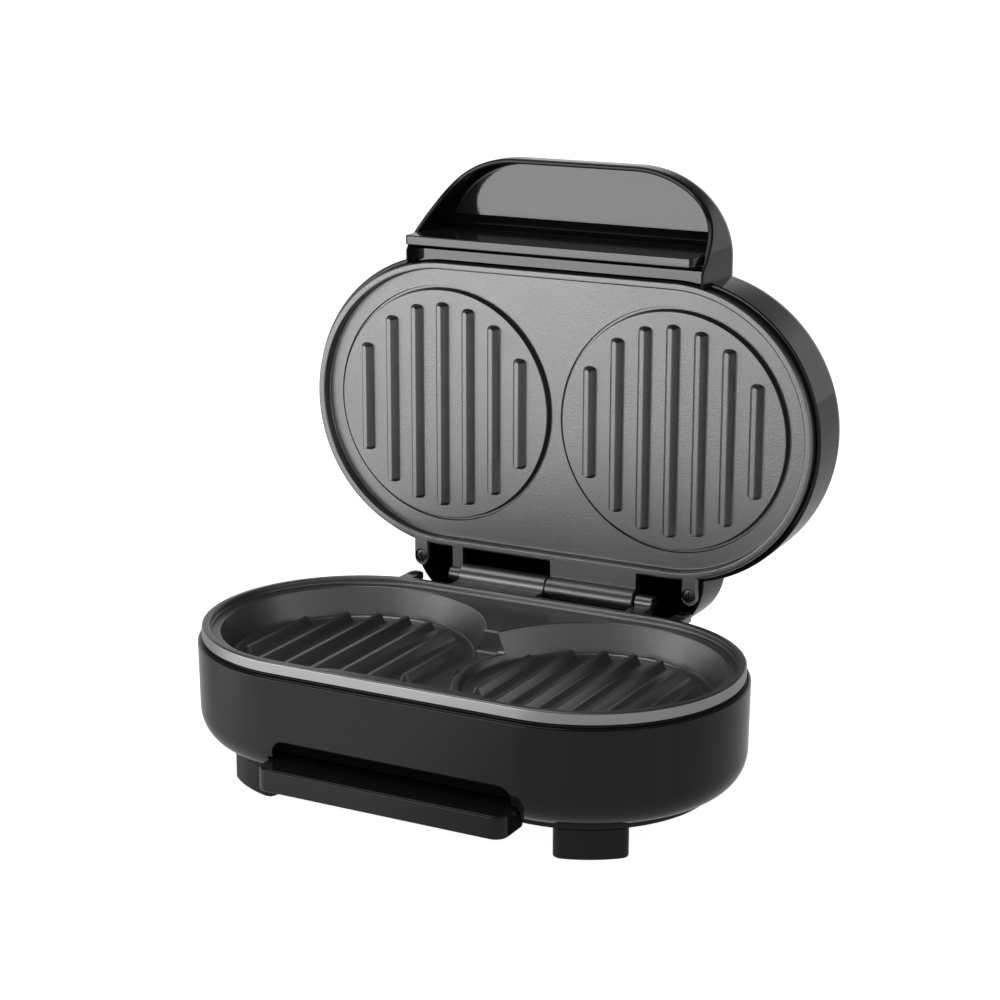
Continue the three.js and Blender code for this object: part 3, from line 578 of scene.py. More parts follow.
def well_hollow(side):
    return at_well(side, hollow_profile(WELL_TOP_RADIUS, -LEDGE_DEPTH, WELL_MOUTH_ROUND,
                                        WELL_FLOOR_RADIUS, -FLOOR_DEPTH, WELL_FOOT_ROUND))


def channel_outline(grow):
    return wide_box(CHANNEL_HALF_WIDTH + grow, CHANNEL_FRONT_Y - grow, CHANNEL_BACK_Y + grow,
                    CHANNEL_CORNER)


def ridge_and_ramp():
    """The ridge beside the sump, and the wall that it runs into at its rear end."""
    inner = RIDGE_RADIUS - RIDGE_WIDTH
    section = ([(inner, -SUMP_DEPTH)]
               + [(inner + across, RIDGE_TOP_Z - down) for across, down in RIDGE_SHOULDER]
               + [(RIDGE_RADIUS - across, RIDGE_TOP_Z - down) for across, down in RIDGE_SHOULDER[::-1]]
               + [(RIDGE_RADIUS, -SUMP_DEPTH)])
    ridge = common(at_well(1, section, looped=True),
                   block(-SUMP_INNER_RADIUS, CHANNEL_FRONT_Y + RIDGE_FRONT_GAP, UNDERSIDE_Z,
                         WELL_CENTRE / 2, CHANNEL_BACK_Y + WELD, 0))
    wall = prism([(CHANNEL_BACK_Y + behind, z) for behind, z in RAMP_SECTION],
                 0, RIDGE_RADIUS / 2, across_x)
    inside = at_well(1, [(RIDGE_RADIUS, -FLOOR_DEPTH), (RIDGE_RADIUS, 0)])
    return [ridge, carved(common(inside, wall), well_hollow(1))]


def make_lower_plate():
    def pan(side):
        return at_well(side, [(WELL_TOP_RADIUS + CASTING, -LEDGE_DEPTH),
                              (WELL_FLOOR_RADIUS + CASTING, UNDERSIDE_Z)])

    body = welded(
        plate_slab(SKIRT_DEPTH), *both_sides(pan), *both_sides(lambda side: tab(side, 1)),
        wide_block(CHANNEL_HALF_WIDTH, CHANNEL_FRONT_Y - CASTING, UNDERSIDE_Z,
                   CHANNEL_BACK_Y + CASTING, -LEDGE_DEPTH),
        *knuckle(-LID_KNUCKLE_X + KNUCKLE_GAP, HINGE_MIDDLE_X, 1, HINGE_Z),
        *knuckle(SMALL_KNUCKLE_X, HINGE_HALF_LENGTH, 1, HINGE_Z, SMALL_BARREL_RADIUS))
    land = hollow_profile(0, -LEDGE_DEPTH, CHANNEL_MOUTH_ROUND,
                          0, -CHANNEL_LAND_DEPTH, CHANNEL_FOOT_ROUND)
    sump = carved(
        prism(channel_outline(-SUMP_INSET), -SUMP_DEPTH, 0),
        wide_block(WELL_CENTRE, SUMP_BACK_Y, -PLATE_RADIUS, PLATE_RADIUS, OVERRUN),
        *[at_well(side, [(radius, -PLATE_RADIUS), (radius, PLATE_RADIUS)])
          for side, radius in [(1, RIDGE_RADIUS), (-1, SUMP_INNER_RADIUS)]])
    drains = [disc((i - (DRAIN_COUNT - 1) / 2) * DRAIN_PITCH, DRAIN_Y, DRAIN_RADIUS,
                   UNDERSIDE_Z - OVERRUN, 0) for i in range(DRAIN_COUNT)]
    carved(body, rim_pocket(LEDGE_DEPTH), *both_sides(well_hollow),
           shaped(channel_outline, land), sump, *drains,
           pin_hole(1, HINGE_Z), *tab_holes(1, SCREW_HEAD_PROUD))
    ribs = rib_tools(-FLOOR_DEPTH - CASTING / 2, -FLOOR_DEPTH, RIB_HEIGHT - FLOOR_DEPTH,
                     RIB_FLARE, RIB_EDGE, upright=True)
    return welded(body, *ridge_and_ramp(), *ribs)


def make_upper_plate():
    disc_root = UPPER_DISC_RADIUS + UPPER_DISC_DRAFT
    groove_z = -UPPER_FACE_DEPTH - DISC_GROOVE_DEPTH

    def raised_disc(side):
        profile = round_corners([
            (disc_root, groove_z - WELD, 0), (UPPER_DISC_RADIUS, -UPPER_DISC_DEPTH, UPPER_DISC_ROUND),
            (UPPER_DISC_RADIUS - 1, -UPPER_DISC_DEPTH, 0)])
        return at_well(side, profile[:-1])

    def groove(side):
        inner, outer = disc_root - DISC_GROOVE_OVERLAP, disc_root + DISC_GROOVE_WIDTH
        across, up = DISC_GROOVE_CORNER
        over_z = OVERRUN - UPPER_FACE_DEPTH
        return at_well(side, [(inner, groove_z), (outer - across, groove_z), (outer, groove_z + up),
                              (outer, over_z), (inner, over_z)], looped=True)

    body = welded(
        plate_slab(UPPER_CASTING_DEPTH), *both_sides(lambda side: tab(side, -1)),
        *knuckle(-HINGE_HALF_LENGTH, -LID_KNUCKLE_X, -1, HINGE_LID_Z, SMALL_BARREL_RADIUS),
        *knuckle(HINGE_MIDDLE_X + KNUCKLE_GAP, SMALL_KNUCKLE_X - KNUCKLE_GAP, -1, HINGE_LID_Z))
    carved(body, rim_pocket(UPPER_FACE_DEPTH), pin_hole(-1, HINGE_LID_Z),
           *tab_holes(-1, -SCREW_HEAD_SUNK), *both_sides(groove))
    ribs = rib_tools(-UPPER_DISC_DEPTH - OVERRUN, -UPPER_DISC_DEPTH, UPPER_RIB_PROUD,
                     UPPER_RIB_FLARE, UPPER_RIB_EDGE)
    return welded(body, *both_sides(raised_disc), *ribs)


# Base housing
def housing_outline(inset):
    radius = HOUSING_RADIUS - inset
    meet = math.acos((BULGE_HALF_WIDTH - inset - HALF_STRAIGHT) / radius)
    corner = BULGE_CORNER - inset
    return mirrored(arc(HALF_STRAIGHT, 0, radius, radius, -QUARTER, meet, END_STEPS)
                    + arc(BULGE_HALF_WIDTH - BULGE_CORNER, BULGE_BACK_Y - BULGE_CORNER, corner, corner,
                          0, QUARTER, 16))


def recess_opening(grow):
    """The recess with its narrower mouth above the tray, where the front is closed beside the grip."""
    wide, narrow, corner = RECESS_HALF_WIDTH + grow, MOUTH_HALF_WIDTH + grow, RECESS_CORNER + grow
    shoulder = TRAY_DECK_Z + SLIDE_GAP + grow
    return mirrored([(wide, FLOOR_Z), (wide, shoulder), (narrow, shoulder)]
                    + arc(narrow - corner, RECESS_TOP_Z - RECESS_CORNER, corner, corner, 0, QUARTER, 10))


def housing_solid():
    profile = round_corners([(4, HOUSING_TOP_Z, 0), (0, HOUSING_TOP_Z, LIP_ROUND),
                             (HOUSING_DRAFT, HOUSING_TURN_Z, 0)])[:-1]
    profile += turn_profile(0, HOUSING_TURN_Z, HOUSING_END_Z, HOUSING_DRAFT, HOUSING_TURN_IN)
    return shaped(housing_outline, profile)


def make_base_housing():
    drawn = oval_in(HOUSING_RADIUS)
    opening = HOUSING_RADIUS - BOTTOM_OPENING_RADIUS
    turn = turn_profile(HOUSING_WALL, HOUSING_TURN_Z, HOUSING_END_Z + HOUSING_WALL,
                        HOUSING_DRAFT, HOUSING_TURN_IN)
    lip = round_corners([(HOUSING_WALL, HOUSING_TURN_Z, 0),
                         (HOUSING_WALL, HOUSING_TOP_Z, LIP_INNER_ROUND), (0, HOUSING_TOP_Z, 0)])[1:-1]
    hollow = [(opening, HOUSING_END_Z - OVERRUN), (opening, turn[-1][1]), *turn[::-1], *lip,
              (lip[-1][0], OVERRUN)]
    near = HOUSING_WALL - SEAT_GAP
    far = near + SEAT_WIDTH
    top = -SKIRT_DEPTH - SEAT_GAP
    bottom = top - SEAT_DEPTH
    seat = shaped(drawn, [(near, top), (near, bottom), (far, bottom), (far, top)], looped=True)
    front = -HOUSING_RADIUS - OVERRUN
    lining = wide_box(RECESS_HALF_WIDTH + RECESS_WALL, FLOOR_Z, RECESS_TOP_Z + RECESS_WALL,
                      RECESS_CORNER + RECESS_WALL)
    liner = common(prism(lining, front, RECESS_BACK_Y + RECESS_WALL, across_y), housing_solid())
    wall_y = HOUSING_DRAFT - HOUSING_RADIUS
    turned, mouth = MID_TURN * RECESS_MOUTH_ROUND, RECESS_MOUTH_ROUND
    recess = shaped(recess_opening, [
        (-RECESS_FOOT_ROUND, RECESS_BACK_Y), (0, RECESS_BACK_Y - RECESS_FOOT_ROUND), (0, wall_y + mouth),
        (turned, wall_y + turned), (mouth, wall_y), (mouth + OVERRUN, front)], across_y)
    slot = wide_block(TRAY_BODY_HALF_WIDTH + SLIDE_GAP, RECESS_BACK_Y - OVERRUN, FLOOR_Z,
                      -COVER_RADIUS / 2, SLOT_TOP_Z)
    grip_room = wide_block(TRAY_HALF_WIDTH + SLIDE_GAP, RECESS_BACK_Y - OVERRUN, FLOOR_Z,
                           TRAY_GRIP_BACK_Y + SLIDE_GAP, SLOT_TOP_Z)
    gland = prism(circle(GLAND_X, GLAND_Z, GLAND_RADIUS + SEAT_GAP),
                  BULGE_BACK_Y - HOUSING_TURN_IN, BULGE_BACK_Y + OVERRUN, across_y)
    shell = welded(carved(housing_solid(), shaped(drawn, hollow)), liner, seat)
    return carved(shell, recess, slot, grip_room, gland)


def make_cord_gland():
    face = BULGE_BACK_Y + SEAT_GAP
    inside, outside = face - 2 * HOUSING_WALL, face + GLAND_FLANGE_THICKNESS
    section = [(GLAND_RADIUS, inside), (GLAND_RADIUS, face), (GLAND_FLANGE_RADIUS, face),
               (GLAND_FLANGE_RADIUS, outside - GLAND_EDGE), (GLAND_FLANGE_RADIUS - GLAND_EDGE, outside),
               (GLAND_BORE_RADIUS + GLAND_EDGE, outside), (GLAND_BORE_RADIUS, outside - GLAND_EDGE),
               (GLAND_BORE_RADIUS, inside)]
    return revolved(GLAND_X, GLAND_Z, section, HINGE_STEPS, across_y, looped=True)


def make_bottom_cover():
    cover = shaped(oval_in(COVER_RADIUS),
                   edged(COVER_TOP_Z, COVER_TOP_ROUND, COVER_BOTTOM_Z, COVER_BOTTOM_ROUND))
    return carved(cover, *both_sides(lambda side: disc(
        side * COVER_SCREW_X, 0, SCREW_HEAD_RADIUS + SEAT_GAP, COVER_BOTTOM_Z - OVERRUN,
        COVER_BOTTOM_Z + SCREW_HEAD_HEIGHT + SEAT_GAP)))


# Feet
FOOT_MIDDLE = (FOOT_START + FOOT_END) / 2
FOOT_PLACES = {
    "rear_right": (1, FOOT_MIDDLE), "rear_left": (-1, 2 * QUARTER - FOOT_MIDDLE),
    "front_left": (-1, 2 * QUARTER + FOOT_MIDDLE), "front_right": (1, -FOOT_MIDDLE),
}


def foot_outline(place, inset):
    """A foot's outline, a stretch of a ring round the middle of the oval's end."""
    side_x, angle = place
    half = (FOOT_END - FOOT_START) / 2
    corner = FOOT_CORNER - inset
    outer = FOOT_OUTER_RADIUS - FOOT_CORNER
    inner = FOOT_OUTER_RADIUS - FOOT_DEPTH + FOOT_CORNER
    out_turn, in_turn = (half - math.asin(FOOT_CORNER / radius) for radius in (outer, inner))

    def turn(radius, direction, start, end):
        return arc(side_x * HALF_STRAIGHT + radius * math.cos(direction), radius * math.sin(direction),
                   corner, corner, start, end, 8)

    def sweep(radius, start, end):
        return arc(side_x * HALF_STRAIGHT, 0, radius, radius, start, end, 12)[1:-1]

    return (turn(outer, angle - out_turn, angle - half - QUARTER, angle - out_turn)
            + sweep(outer + corner, angle - out_turn, angle + out_turn)
            + turn(outer, angle + out_turn, angle + out_turn, angle + half + QUARTER)
            + turn(inner, angle + in_turn, angle + half + QUARTER, angle + in_turn + 2 * QUARTER)
            + sweep(inner - corner, angle + in_turn, angle - in_turn)
            + turn(inner, angle - in_turn, angle - in_turn + 2 * QUARTER, angle - half + 3 * QUARTER))


def make_foot(place):
    profile = edged(FOOT_TOP_Z, FOOT_TOP_ROUND, FLOOR_Z + PAD_PROUD, FOOT_END_ROUND, FOOT_CORNER / 2)
    foot = shaped(lambda inset: foot_outline(place, inset), profile)
    return carved(foot, prism(foot_outline(place, PAD_INSET - SEAT_GAP), FLOOR_Z,
                              FLOOR_Z + PAD_THICKNESS + SEAT_GAP))


def make_foot_pad(place):
    profile = round_corners([(PAD_INSET + 1, FLOOR_Z, 0), (PAD_INSET, FLOOR_Z, PAD_ROUND),
                             (PAD_INSET, FLOOR_Z + PAD_THICKNESS, 0)])
    return shaped(lambda inset: foot_outline(place, inset), profile)


def make_drip_tray():
    def grip_outline(inset):
        return wide_box(TRAY_HALF_WIDTH - inset, TRAY_FRONT_Y + inset, TRAY_GRIP_BACK_Y - inset,
                        TRAY_CORNER - inset)

    def pan_outline(inset):
        return wide_box(TRAY_BODY_HALF_WIDTH - inset, TRAY_GRIP_BACK_Y - TRAY_CORNER + inset,
                        TRAY_BODY_BACK_Y - inset, TRAY_BODY_CORNER - inset)

    grip_bottom = TRAY_DECK_Z - TRAY_GRIP_DEPTH
    tray_floor = TRAY_DECK_Z - TRAY_BODY_DEPTH
    deck_z = TRAY_DECK_Z - TRAY_GRIP_WALL
    basin_z = tray_floor + TRAY_WALL
    grip = shaped(grip_outline, edged(TRAY_DECK_Z, TRAY_DECK_ROUND, grip_bottom, TRAY_GRIP_ROUND))
    under = shaped(grip_outline, round_corners([
        (TRAY_GRIP_WALL, grip_bottom - OVERRUN, 0), (TRAY_GRIP_WALL, deck_z, TRAY_INNER_ROUND),
        (TRAY_GRIP_WALL + 2, deck_z, 0)]))
    pan = shaped(pan_outline, edged(TRAY_DECK_Z, TRAY_LIP_ROUND, tray_floor, TRAY_FLOOR_ROUND,
                                    TRAY_BODY_CORNER / 2))
    basin = shaped(pan_outline, round_corners([
        (TRAY_WALL, 0, 0), (TRAY_WALL, basin_z, TRAY_BASIN_ROUND), (TRAY_WALL + 2, basin_z, 0)]))
    return carved(welded(carved(grip, under), pan), basin)


# Lid shell
def apron_outline(inset):
    return wide_box(APRON_HALF_WIDTH - inset, APRON_END_Y + inset, -inset, APRON_CORNER - inset, 24)


def hood_outline(inset, foot_y=HOOD_FOOT_Y):
    radius_x = HOOD_CORNER_X - inset
    radius_y = HOOD_CORNER_Y - inset
    centre_x = HOOD_HALF_WIDTH - HOOD_CORNER_X
    centre_y = HOOD_TOP_Y - HOOD_CORNER_Y
    bottom = foot_y + inset
    start = math.asin(max(0, bottom - centre_y) / radius_y)
    curve = arc(centre_x, centre_y, radius_x, radius_y, start, QUARTER, 48)
    rise = [(curve[0][0], bottom + (curve[0][1] - bottom) * i / 12) for i in range(12)]
    return mirrored(rise + curve)


def bezier(points, share):
    a, b, c, d = map(Vector, points)
    left = 1 - share
    return a * left ** 3 + b * 3 * share * left ** 2 + c * 3 * share ** 2 * left + d * share ** 3


RIM_BENDS = [(HOOD_RIM_START_Y, HOOD_FRONT_Z), (HOOD_RIM_BEND_Y, HOOD_RIM_BEND_Z),
             (HOOD_RIM_LEVEL_Y, HOOD_RIM_Z), (HOOD_RIM_END_Y, HOOD_RIM_Z)]
RIM_CURVE = [bezier(RIM_BENDS, i / 200) for i in range(201)]


def rim_height(y):
    """How far the hood's edge stands out at a distance y from the lid's middle."""
    if y <= HOOD_RIM_START_Y:
        return HOOD_FRONT_Z
    if y >= HOOD_RIM_END_Y:
        return HOOD_RIM_Z
    k = next(i for i, p in enumerate(RIM_CURVE) if p.x >= y)
    a, b = RIM_CURVE[k - 1], RIM_CURVE[k]
    return a.y + (b.y - a.y) * (y - a.x) / (b.x - a.x)


def hood_cup():
    """The hood as one cup: its back, its outer wall, the rounded rim, and the finger hollow."""
    inner_foot = BAR_TOP_Y + SEAT_GAP - HOOD_WALL
    rings = [level(hood_outline(inset), z)
             for inset, z in turn_profile(0, LID_TURN_Z, LID_BACK_Z, 0, LID_TURN_IN)[::-1]]
    over_rim = round_corners([(0, -2, 0), (0, 0, HOOD_RIM_ROUND), (HOOD_WALL, 0, HOOD_RIM_ROUND),
                              (HOOD_WALL, -2, 0)])
    for inset, drop in over_rim:
        foot = HOOD_FOOT_Y if inset < HOOD_WALL / 2 else inner_foot
        rings.append([(x, y, rim_height(y) + drop) for x, y in hood_outline(inset, foot)])
    turn = turn_profile(HOOD_WALL, HOOD_PANEL_Z + PANEL_ROUND, HOOD_PANEL_Z, 0, PANEL_ROUND, 6)
    return skin(rings + [[(x, y, z - PANEL_LEAN * (y - PANEL_FOOT_Y))
                          for x, y in hood_outline(inset, inner_foot)] for inset, z in turn])


def panel_foot():
    """The sloped foot of the panel at the back of the hollow, ending in a rounded lip."""
    lip = round_corners([(PANEL_FOOT_Y, HOOD_PANEL_Z, 0), (FOOT_LIP_Y, FOOT_LIP_Z, FOOT_LIP_ROUND),
                         (NECK_TOP_Y, FOOT_LIP_Z, 0)])
    half = HOOD_HALF_WIDTH - HOOD_WALL
    foot = prism([(NECK_TOP_Y, LID_BACK_Z), (PANEL_FOOT_Y, LID_BACK_Z)] + lip, -half, half, across_x)
    core = turn_profile(HOOD_WALL / 2, LID_TURN_Z, LID_BACK_Z + HOOD_WALL / 2, 0, LID_TURN_IN)
    return common(foot, shaped(hood_outline, core[::-1] + [(HOOD_WALL / 2, HOOD_RIM_Z)]))


def bar_groove():
    """The open joint between the panel's foot and the bar's top."""
    return wide_block(MOUTH_X, BAR_TOP_Y - GROOVE_DEPTH, FOOT_LIP_Z, BAR_TOP_Y + 2 * SEAT_GAP,
                      GROOVE_FRONT_Z)


def make_lid_shell():
    def deep(wall, draft):
        return turn_profile(wall, LID_TURN_Z, LID_BACK_Z + wall, draft, LID_TURN_IN)

    lid_oval = oval_in(LID_RADIUS)
    lip = round_corners([(LID_LIP_ROUND + 1, LID_FRONT_Z, 0), (0, LID_FRONT_Z, LID_LIP_ROUND),
                         (LID_DRAFT, LID_TURN_Z, 0)])[:-1]
    dome = shaped(lid_oval, lip + deep(0, LID_DRAFT))
    apron = shaped(apron_outline, lip + deep(0, 0))
    neck = wide_block(HOOD_HALF_WIDTH - HOOD_WALL, HOOD_FOOT_Y, LID_TURN_Z, NECK_TOP_Y, NECK_FRONT_Z)
    hollow = shaped(lid_oval, [(LID_WALL, 2 * HOOD_FRONT_Z)] + deep(LID_WALL, LID_DRAFT))
    apron_hollow = shaped(apron_outline, [(LID_WALL, 0)] + deep(LID_WALL, 0))
    mouth = wide_block(MOUTH_X, NECK_TOP_Y, HOOD_TURN_Z, BAR_TOP_Y + 2 * SEAT_GAP, 2 * HOOD_FRONT_Z)
    neck_front = wide_block(MOUTH_X, 0, NECK_FRONT_Z, NECK_TOP_Y + OVERRUN, 2 * HOOD_FRONT_Z)
    lens_holes = both_sides(lambda side: disc(
        side * LENS_X, LENS_Y, LENS_RADIUS + SEAT_GAP, LID_BACK_Z - OVERRUN, LID_BACK_Z + 2 * LID_WALL))
    body = welded(dome, apron, hood_cup(), panel_foot(), neck)
    return carved(body, hollow, apron_hollow, mouth, bar_groove(), neck_front, *lens_holes)


def make_handle_bar():
    def bar_outline(inset):
        half, front = BAR_HALF_WIDTH - inset, BAR_FRONT_Z - inset
        turned = BAR_CHAMFER * MID_TURN
        return mirrored([
            (half, HOOD_TURN_Z + SEAT_GAP), (half, BAR_FRONT_Z - BAR_CHAMFER - inset * BAR_SIDE_SHARE),
            (half - turned, front - turned), (half - BAR_CHAMFER, front)])

    profile = round_corners([(2, BAR_BOTTOM_Y, 0), (0, BAR_BOTTOM_Y, BAR_EDGE), (0, BAR_TOP_Y, BAR_EDGE),
                             (2, BAR_TOP_Y, 0)], 4)[1:-1]
    return carved(shaped(bar_outline, profile, across_y), bar_groove())


def make_lens(side):
    profile = [(1, LENS_THICKNESS)] + LENS_CROWN
    return revolved(side * LENS_X, LENS_Y,
                    [(share * LENS_RADIUS, LID_BACK_Z + depth) for share, depth in profile])


def make_screw(x, y, head_z, turned=1):
    """A pan-head screw with a cross recess. Turned is -1 where its head faces down."""
    head = SCREW_HEAD_RADIUS
    profile = [(SCREW_RADIUS, SCREW_LENGTH), (SCREW_RADIUS, SCREW_HEAD_HEIGHT),
               (head, SCREW_HEAD_HEIGHT)] + [(head * share, depth) for share, depth in SCREW_CROWN]
    screw = revolved(x, y, [(radius, head_z - turned * depth) for radius, depth in profile])
    arm, half = head * CROSS_REACH, CROSS_HALF_WIDTH
    low, high = head_z - turned * CROSS_DEPTH, head_z + turned * OVERRUN
    return carved(screw, block(x - arm, y - half, low, x + arm, y + half, high),
                  block(x - half, y - arm, low, x + half, y + arm, high))


# Finishes
TONE_SCALE = 25.0
SMUDGE_SCALE = 35.0
FLECK_COLOR = (0.5, 0.5, 0.51)
FLECK_SCALE = 2600.0
FLECK_FROM = 0.6
FLECK_FULL = 0.75


def feed(tree, node, inputs):
    """Sets a node's inputs to values, or links them from sockets."""
    for label, value in dict(inputs).items():
        if isinstance(value, bpy.types.NodeSocket):
            tree.links.new(value, node.inputs[label])
        else:
            node.inputs[label].default_value = value
    return node


def add(tree, kind, inputs=(), operation=None):
    node = tree.nodes.new(kind)
    if operation:
        node.operation = operation
    return feed(tree, node, inputs)


def maths(tree, operation, *values):
    return add(tree, "ShaderNodeMath", enumerate(values), operation).outputs[0]


def node_group(name, inputs, output, kind):
    """A group with inputs of the given names and values, and one output."""
    group = bpy.data.node_groups.new(name, "ShaderNodeTree")
    for label, value in inputs.items():
        socket_type = "NodeSocketColor" if isinstance(value, tuple) else "NodeSocketFloat"
        group.interface.new_socket(label, in_out="INPUT", socket_type=socket_type).default_value = value
    group.interface.new_socket(output, in_out="OUTPUT", socket_type=kind)
    return group, group.nodes.new("NodeGroupInput").outputs, group.nodes.new("NodeGroupOutput")


def cloudy_noise(group, given, detail):
    place = add(group, "ShaderNodeTexCoord").outputs["Object"]
    inputs = dict(Vector=place, Scale=given["Scale"], Detail=detail)
    return add(group, "ShaderNodeTexNoise", inputs).outputs["Fac"]


def make_tone_group():
    """A colour that clouds a little lighter and darker over the surface."""
    inputs = dict(Color=(0.5, 0.5, 0.5, 1), Spread=0.1, Scale=30.0)
    group, given, end = node_group("surface_tone", inputs, "Color", "NodeSocketColor")
    around = maths(group, "SUBTRACT", cloudy_noise(group, given, 3.0), 0.5)
    spread = maths(group, "MULTIPLY_ADD", around, given["Spread"], 1.0)
    tint = add(group, "ShaderNodeVectorMath", {0: given["Color"], "Scale": spread}, "SCALE")
    feed(group, end, dict(Color=tint.outputs[0]))
    return group


def make_sheen_group():
    """A roughness that changes softly with handling, and finely with the mould's surface."""
    inputs = dict(Roughness=0.3, Smudges=0.05, Scale=40.0)
    group, given, end = node_group("handled_roughness", inputs, "Roughness", "NodeSocketFloat")
    around = maths(group, "SUBTRACT", cloudy_noise(group, given, 4.0), 0.5)
    total = maths(group, "MULTIPLY_ADD", around, given["Smudges"], given["Roughness"])
    total.node.use_clamp = True
    feed(group, end, dict(Roughness=total))
    return group


def make_grain_group():
    """Fine grain of a moulded, cast or sprayed surface, as a height."""
    group, given, end = node_group("fine_grain", dict(Scale=1500.0), "Height", "NodeSocketFloat")
    feed(group, end, dict(Height=cloudy_noise(group, given, 2.0)))
    return group


def make_fleck_group():
    """Small bright flecks, as in a sprayed non-stick coat, as a colour over the base colour."""
    inputs = dict(Color=(0.1, 0.1, 0.1, 1), Fleck=(0.4, 0.4, 0.4, 1), Scale=1600.0, Amount=0.3)
    group, given, end = node_group("coating_flecks", inputs, "Color", "NodeSocketColor")
    ramp = add(group, "ShaderNodeMapRange", {
        "Value": cloudy_noise(group, given, 1.0), "From Min": FLECK_FROM, "From Max": FLECK_FULL})
    amount = maths(group, "MULTIPLY", ramp.outputs["Result"], given["Amount"])
    blend = group.nodes.new("ShaderNodeMix")
    blend.data_type = "RGBA"
    feed(group, blend, dict(Factor=amount, A=given["Color"], B=given["Fleck"]))
    feed(group, end, dict(Color=blend.outputs["Result"]))
    return group


TONE = make_tone_group()
SHEEN = make_sheen_group()
GRAIN = make_grain_group()
FLECKS = make_fleck_group()


def new_material(name):
    material = bpy.data.materials.new(name)
    material.use_nodes = True
    return material, material.node_tree, material.node_tree.nodes["Principled BSDF"]


def finish(name, color, roughness, *, metallic=0.0, tone=0.15, smudges=0.06, grain_scale=1500.0,
           grain_depth=0.02, flecks=0.0, specular=0.5, transmission=0.0):
    """A finish made of the shared groups, with its constant values on the shader's own sockets."""
    material, tree, shader = new_material(name)

    def placed(group, **inputs):
        node = tree.nodes.new("ShaderNodeGroup")
        node.node_tree = group
        return feed(tree, node, inputs).outputs[0]

    toned = placed(TONE, Color=(*color, 1), Spread=tone, Scale=TONE_SCALE)
    if flecks:
        toned = placed(FLECKS, Color=toned, Fleck=(*FLECK_COLOR, 1), Scale=FLECK_SCALE, Amount=flecks)
    grain = placed(GRAIN, Scale=grain_scale)
    bump = add(tree, "ShaderNodeBump", dict(Strength=grain_depth, Distance=MM, Height=grain))
    feed(tree, shader, {
        "Base Color": toned, "Metallic": metallic, "Normal": bump.outputs["Normal"],
        "Roughness": placed(SHEEN, Roughness=roughness, Smudges=smudges, Scale=SMUDGE_SCALE),
        "Specular IOR Level": specular, "Transmission Weight": transmission})
    return material


BLACK = (0.012, 0.012, 0.0125)
GLOSSY = dict(smudges=0.03, grain_depth=0.01)
COATED = dict(metallic=0.9, grain_scale=1800.0)
LENS = dict(transmission=0.4, grain_depth=0.0)
FINISHES = {name: finish(name, color, roughness, **more) for name, color, roughness, more in [
    ("gloss_black", BLACK, 0.08, dict(GLOSSY, specular=0.28)),
    ("satin_black", BLACK, 0.4, dict(grain_depth=0.1, specular=0.25)),
    ("nonstick_aluminium", (0.2, 0.2, 0.202), 0.31, dict(COATED, grain_depth=0.12, flecks=0.2)),
    # The element sheath is near black, darker than a real element's dark grey: painted shade, as the
    # elements sit in shadow inside the plates
    ("element_sheath", (0.014, 0.0135, 0.013), 0.6, dict(tone=0.4, specular=0.1)),
    ("bare_aluminium", (0.6, 0.6, 0.61), 0.35, dict(metallic=1.0, tone=0.1)),
    ("ceramic", (0.66, 0.62, 0.54), 0.6, dict(grain_depth=0.15)),
    ("steel", (0.08, 0.08, 0.082), 0.35, dict(metallic=1.0, tone=0.1)),
    ("foot_rubber", (0.012, 0.012, 0.012), 0.75, dict(grain_depth=0.25)),
    ("red_lens", (0.35, 0.012, 0.008), 0.12, LENS),
    ("green_lens", (0.012, 0.25, 0.05), 0.12, LENS),
    ("lamp_glass", (0.8, 0.8, 0.78), 0.08, dict(LENS, transmission=0.6)),
]}

# Finishes of one piece, or of some of its faces: copies of the plain finishes that paint in reflection,
# shade and light
# A lighter black with stronger gloss for the front-facing faces of the hood's panel, neck and bar:
# painted reflection on the same black plastic as the rest of the lid
PAINTED_REFLECTION = finish("painted_reflection_black", (0.05, 0.05, 0.051), 0.08, **GLOSSY, specular=0.7)
# Near black without gloss for the faces in the housing's recess and inside the lid: painted shade in
# those hollows
PAINTED_SHADE = finish("painted_shade_black", (0.003, 0.003, 0.003), 0.8, grain_depth=0.05, specular=0.03)
# A lighter copy (0.24 against 0.2) of the plates' non-stick coat for the lower plate: painted light, set
# to how light falls on it. Its finer grain and fewer flecks are its own
LIT_LOWER_COAT = finish("lower_plate_lit_coat", (0.24, 0.24, 0.242), 0.31, **COATED, smudges=0.03,
                    grain_depth=0.05, flecks=0.1)
# A lighter copy of the non-stick coat for the lower plate's outer skirt: painted light on the rim's side
PAINTED_LIGHT_SKIRT = finish("painted_light_skirt", (0.36, 0.36, 0.363), 0.33, metallic=0.9, smudges=0.03,
                     grain_depth=0.05)


# How far from its surface a face's middle still counts as on it, and how straight it faces
CLOSE = 0.1
NEAR = 0.3
AROUND = 0.5
FACING = 0.99
TURNED_UP = 0.05
INSIDE = 2.0
NECK_SEEN = 12.0
RECESS_LIP = 1.4
SMOOTH_ANGLE = math.radians(32)


def dressed(piece, name, body, slot, *nodes, coat=None, faces=()):
    """Sets a shape into the frame, smooths it, gives it its slot's finish or its own coat and any face
    coats, and hangs it on its body.
    """
    piece.name = name
    piece.data.name = name
    coats = piece.data.materials
    coats.clear()
    coats.append(coat or FINISHES[slot])
    for number, (face_coat, belongs) in enumerate(faces, 1):
        coats.append(face_coat)
        for face in piece.data.polygons:
            if belongs(face.center, face.normal):
                face.material_index = number
    piece.data.transform(PLACES[body])
    piece.data.shade_smooth()
    piece.data.set_sharp_from_angle(angle=SMOOTH_ANGLE)
    piece.modifiers.new("weighted_normals", "WEIGHTED_NORMAL").keep_sharp = True
    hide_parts(*nodes)
    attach(piece, body)


